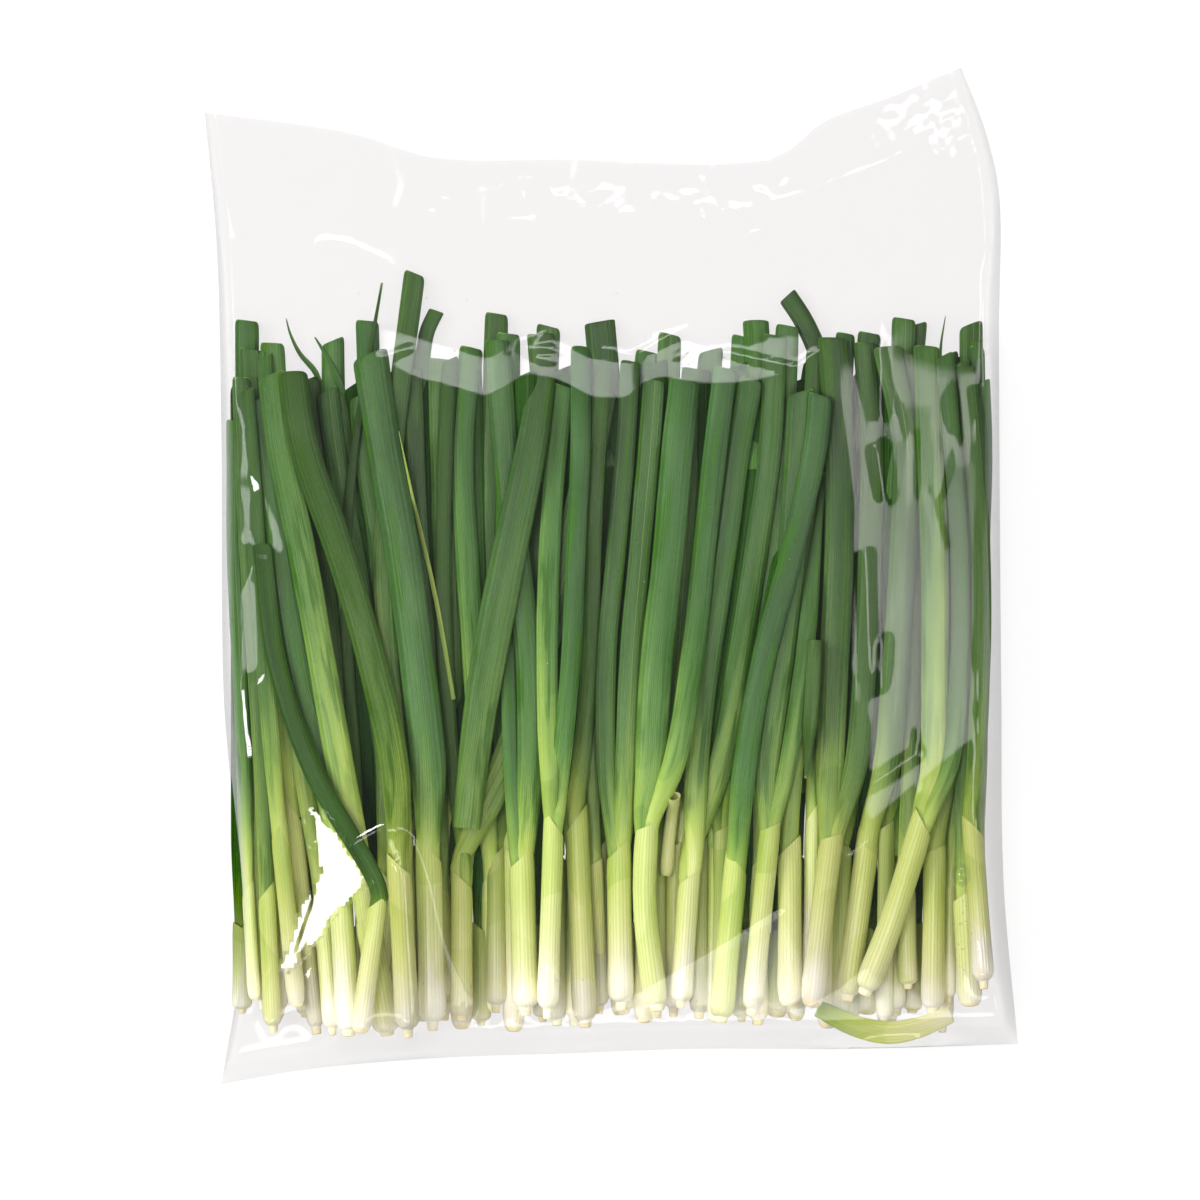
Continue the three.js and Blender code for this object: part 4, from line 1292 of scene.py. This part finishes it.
# %% Press the folds into the sweep
def inside_outline(x, y, corners):
    """Which places lie inside an outline, by counting the edges crossed."""
    inside = np.zeros(x.shape, bool)
    for (x1, y1), (x2, y2) in zip(corners, corners[1:] + corners[:1]):
        if y1 == y2:
            continue
        crosses = (y1 > y) != (y2 > y)
        inside ^= crosses & (x < (x2 - x1) * (y - y1) / (y2 - y1) + x1)
    return inside


def distance_to_line(x, y, places):
    """How far each place is from a line of straight stretches."""
    nearest = np.full(x.shape, 1e9)
    for (x1, y1), (x2, y2) in zip(places, places[1:]):
        length = (x2 - x1) ** 2 + (y2 - y1) ** 2
        t = np.clip(((x - x1) * (x2 - x1) + (y - y1) * (y2 - y1)) / length, 0, 1)
        nearest = np.minimum(nearest, np.hypot(x - x1 - t * (x2 - x1), y - y1 - t * (y2 - y1)))
    return nearest


for corners, rise_x, rise_y in FACETS:
    mask = inside_outline(film_x, film_y, corners)
    if mask.any():
        rise = rise_x * film_x + rise_y * film_y
        sweep = np.where(mask, np.maximum(sweep, (sweep[mask] - rise[mask]).max() + rise), sweep)
for places, half_width, height in RIDGES:
    away = distance_to_line(film_x, film_y, places)
    sweep += height * np.clip(1 - away / half_width, 0, 1)
film_heights = sweep * MM
print("film", round(film_heights.max() / MM, 1), "mm high")


# %% [markdown]
# ## The two sheets
# Each sheet is a grid from the operator, with its points moved into place, and Solidify gives it
# its thin wall. The lower one lies flat on the table. The look mixes a clear shader with a glossy
# one, and more of the gloss where the film is seen at a flat angle, as on real film.

# %% Make the two sheets
def film_sheet(name, heights, places, wall, outward):
    """A fine grid moved into the shape of a sheet of film, then given its wall."""
    rows, columns = heights.shape
    clear_selection()
    bpy.ops.mesh.primitive_grid_add(x_subdivisions=columns - 1, y_subdivisions=rows - 1, size=1)
    sheet = bpy.context.object
    sheet.name = name
    points = np.concatenate([places, heights[..., None]], axis=-1).reshape(-1, 3)
    sheet.data.vertices.foreach_set("co", points.ravel())
    sheet.data.update()
    if not outward:
        bpy.ops.object.mode_set(mode="EDIT")
        bpy.ops.mesh.select_all(action="SELECT")
        bpy.ops.mesh.flip_normals()
        bpy.ops.object.mode_set(mode="OBJECT")
    thick = sheet.modifiers.new("wall", "SOLIDIFY")
    thick.thickness = wall
    thick.offset = -1
    bpy.ops.object.modifier_apply(modifier="wall")
    bpy.ops.object.shade_smooth_by_angle(angle=math.radians(60))
    return sheet


FILM_WALL, BACK_LEVEL = 0.06 * MM, 0.1 * MM
BACK_COLUMNS, BACK_ROWS = 86, 104
film_front = film_sheet("film_front", film_heights, plan, FILM_WALL, True)
back_plan = bag_plan(BACK_COLUMNS, BACK_ROWS)
back_heights = np.full(back_plan.shape[:2], BACK_LEVEL)
film_back = film_sheet("film_back", back_heights, back_plan, FILM_WALL, False)
print("sheets of film:", film_front.name, film_back.name)


# %% The look of the film
def film_material(name, tint):
    """Clear film: light passes straight through, and a little is thrown back, more at a glance."""
    film = new_material(name)
    facing = add_node(film, "LayerWeight", [("Blend", 0.5)]).outputs["Facing"]
    glance = maths(film, "MULTIPLY_ADD", maths(film, "POWER", facing, 4.0), 0.5, 0.023)
    clear = add_node(film, "BsdfTransparent", [("Color", tint)])
    gloss = add_node(film, "BsdfGlossy", [("Color", (1, 1, 1, 1)), ("Roughness", 0.05)])
    sheen = add_node(film, "MixShader", [(0, glance), (1, clear.outputs[0]), (2, gloss.outputs[0])])
    haze = add_node(film, "BsdfDiffuse", [("Color", (0.9, 0.9, 0.9, 1))])
    soft = add_node(film, "MixShader", [(0, 0.003), (1, sheen.outputs[0]), (2, haze.outputs[0])])
    add_node(film, "OutputMaterial", [("Surface", soft.outputs[0])])
    return film


film_front.data.materials.append(film_material("clear_film_front", (0.99, 0.988, 0.988, 1)))
film_back.data.materials.append(film_material("clear_film_back", (0.991, 0.986, 0.983, 1)))
for sheet in (film_front, film_back):
    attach(sheet, "root")
    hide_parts("bag")
print("film triangles", triangles([film_front]), "and", triangles([film_back]))

# %% [markdown]
# ## Water drops
# A few tiny drops and one larger bubble cling to the film. One drop is modelled and copied, and
# the copies are joined into a single piece.

# %% Water drops on the film
DROPS = [((-148, 72), (7, 16), 26), ((36, 90), (40, 6), 30), ((0, 10), (130, 70), 24),
         ((-20, -172), (110, 14), 34), ((147, -150), (4, 14), 26), ((-40, 108), (90, 14), 14)]
BUBBLE, BUBBLE_HEIGHT, DROP_HEIGHT = (146, -124.7, 4.2), 0.8, 0.4
LOWEST_DROP = 3 * MM
clear_selection()
bpy.ops.mesh.primitive_ico_sphere_add(subdivisions=2, radius=1 * MM)
one_drop = bpy.context.object
bpy.ops.object.shade_smooth()
film_tree = tree_over([film_front])
places = [BUBBLE]
for (x, y), (reach_x, reach_y), count in DROPS:
    for _ in range(count):
        places.append((chance.gauss(x, reach_x / 2), chance.gauss(y, reach_y / 2),
                       chance.uniform(0.2, 0.5)))
drops = []
for x, y, radius in places:
    hit = drop_on(film_tree, x * MM, y * MM)
    if hit is None or hit.z < LOWEST_DROP:
        continue
    drop = bpy.data.objects.new("drop", one_drop.data.copy())
    bpy.context.scene.collection.objects.link(drop)
    drop.scale = (radius, radius * chance.uniform(0.9, 1.3),
                  radius * (BUBBLE_HEIGHT if radius > 1 else DROP_HEIGHT))
    drop.location = hit
    drops.append(drop)
bpy.data.objects.remove(one_drop)
clear_selection()
for drop in drops:
    drop.select_set(True)
bpy.context.view_layer.objects.active = drops[0]
bpy.ops.object.transform_apply(location=True, rotation=True, scale=True)
bpy.ops.object.join()
water_drops = drops[0]
water_drops.name = "water_drops"
print("water drops:", len(drops))

# %% The look of the water
water = new_material("water")
edge = add_node(water, "LayerWeight", [("Blend", 0.5)]).outputs["Facing"]
thrown = maths(water, "MULTIPLY_ADD", maths(water, "POWER", edge, 3.0), 0.5, 0.03)
through = add_node(water, "BsdfTransparent", [("Color", (0.91, 0.94, 0.9, 1))])
shine = add_node(water, "BsdfGlossy", [("Color", (1, 1, 1, 1)), ("Roughness", 0.03)])
wet = add_node(water, "MixShader", [(0, thrown), (1, through.outputs[0]), (2, shine.outputs[0])])
add_node(water, "OutputMaterial", [("Surface", wet.outputs[0])])
water_drops.data.materials.clear()
water_drops.data.materials.append(water)
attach(water_drops, "root")
print("water has", len(water.node_tree.nodes), "nodes")
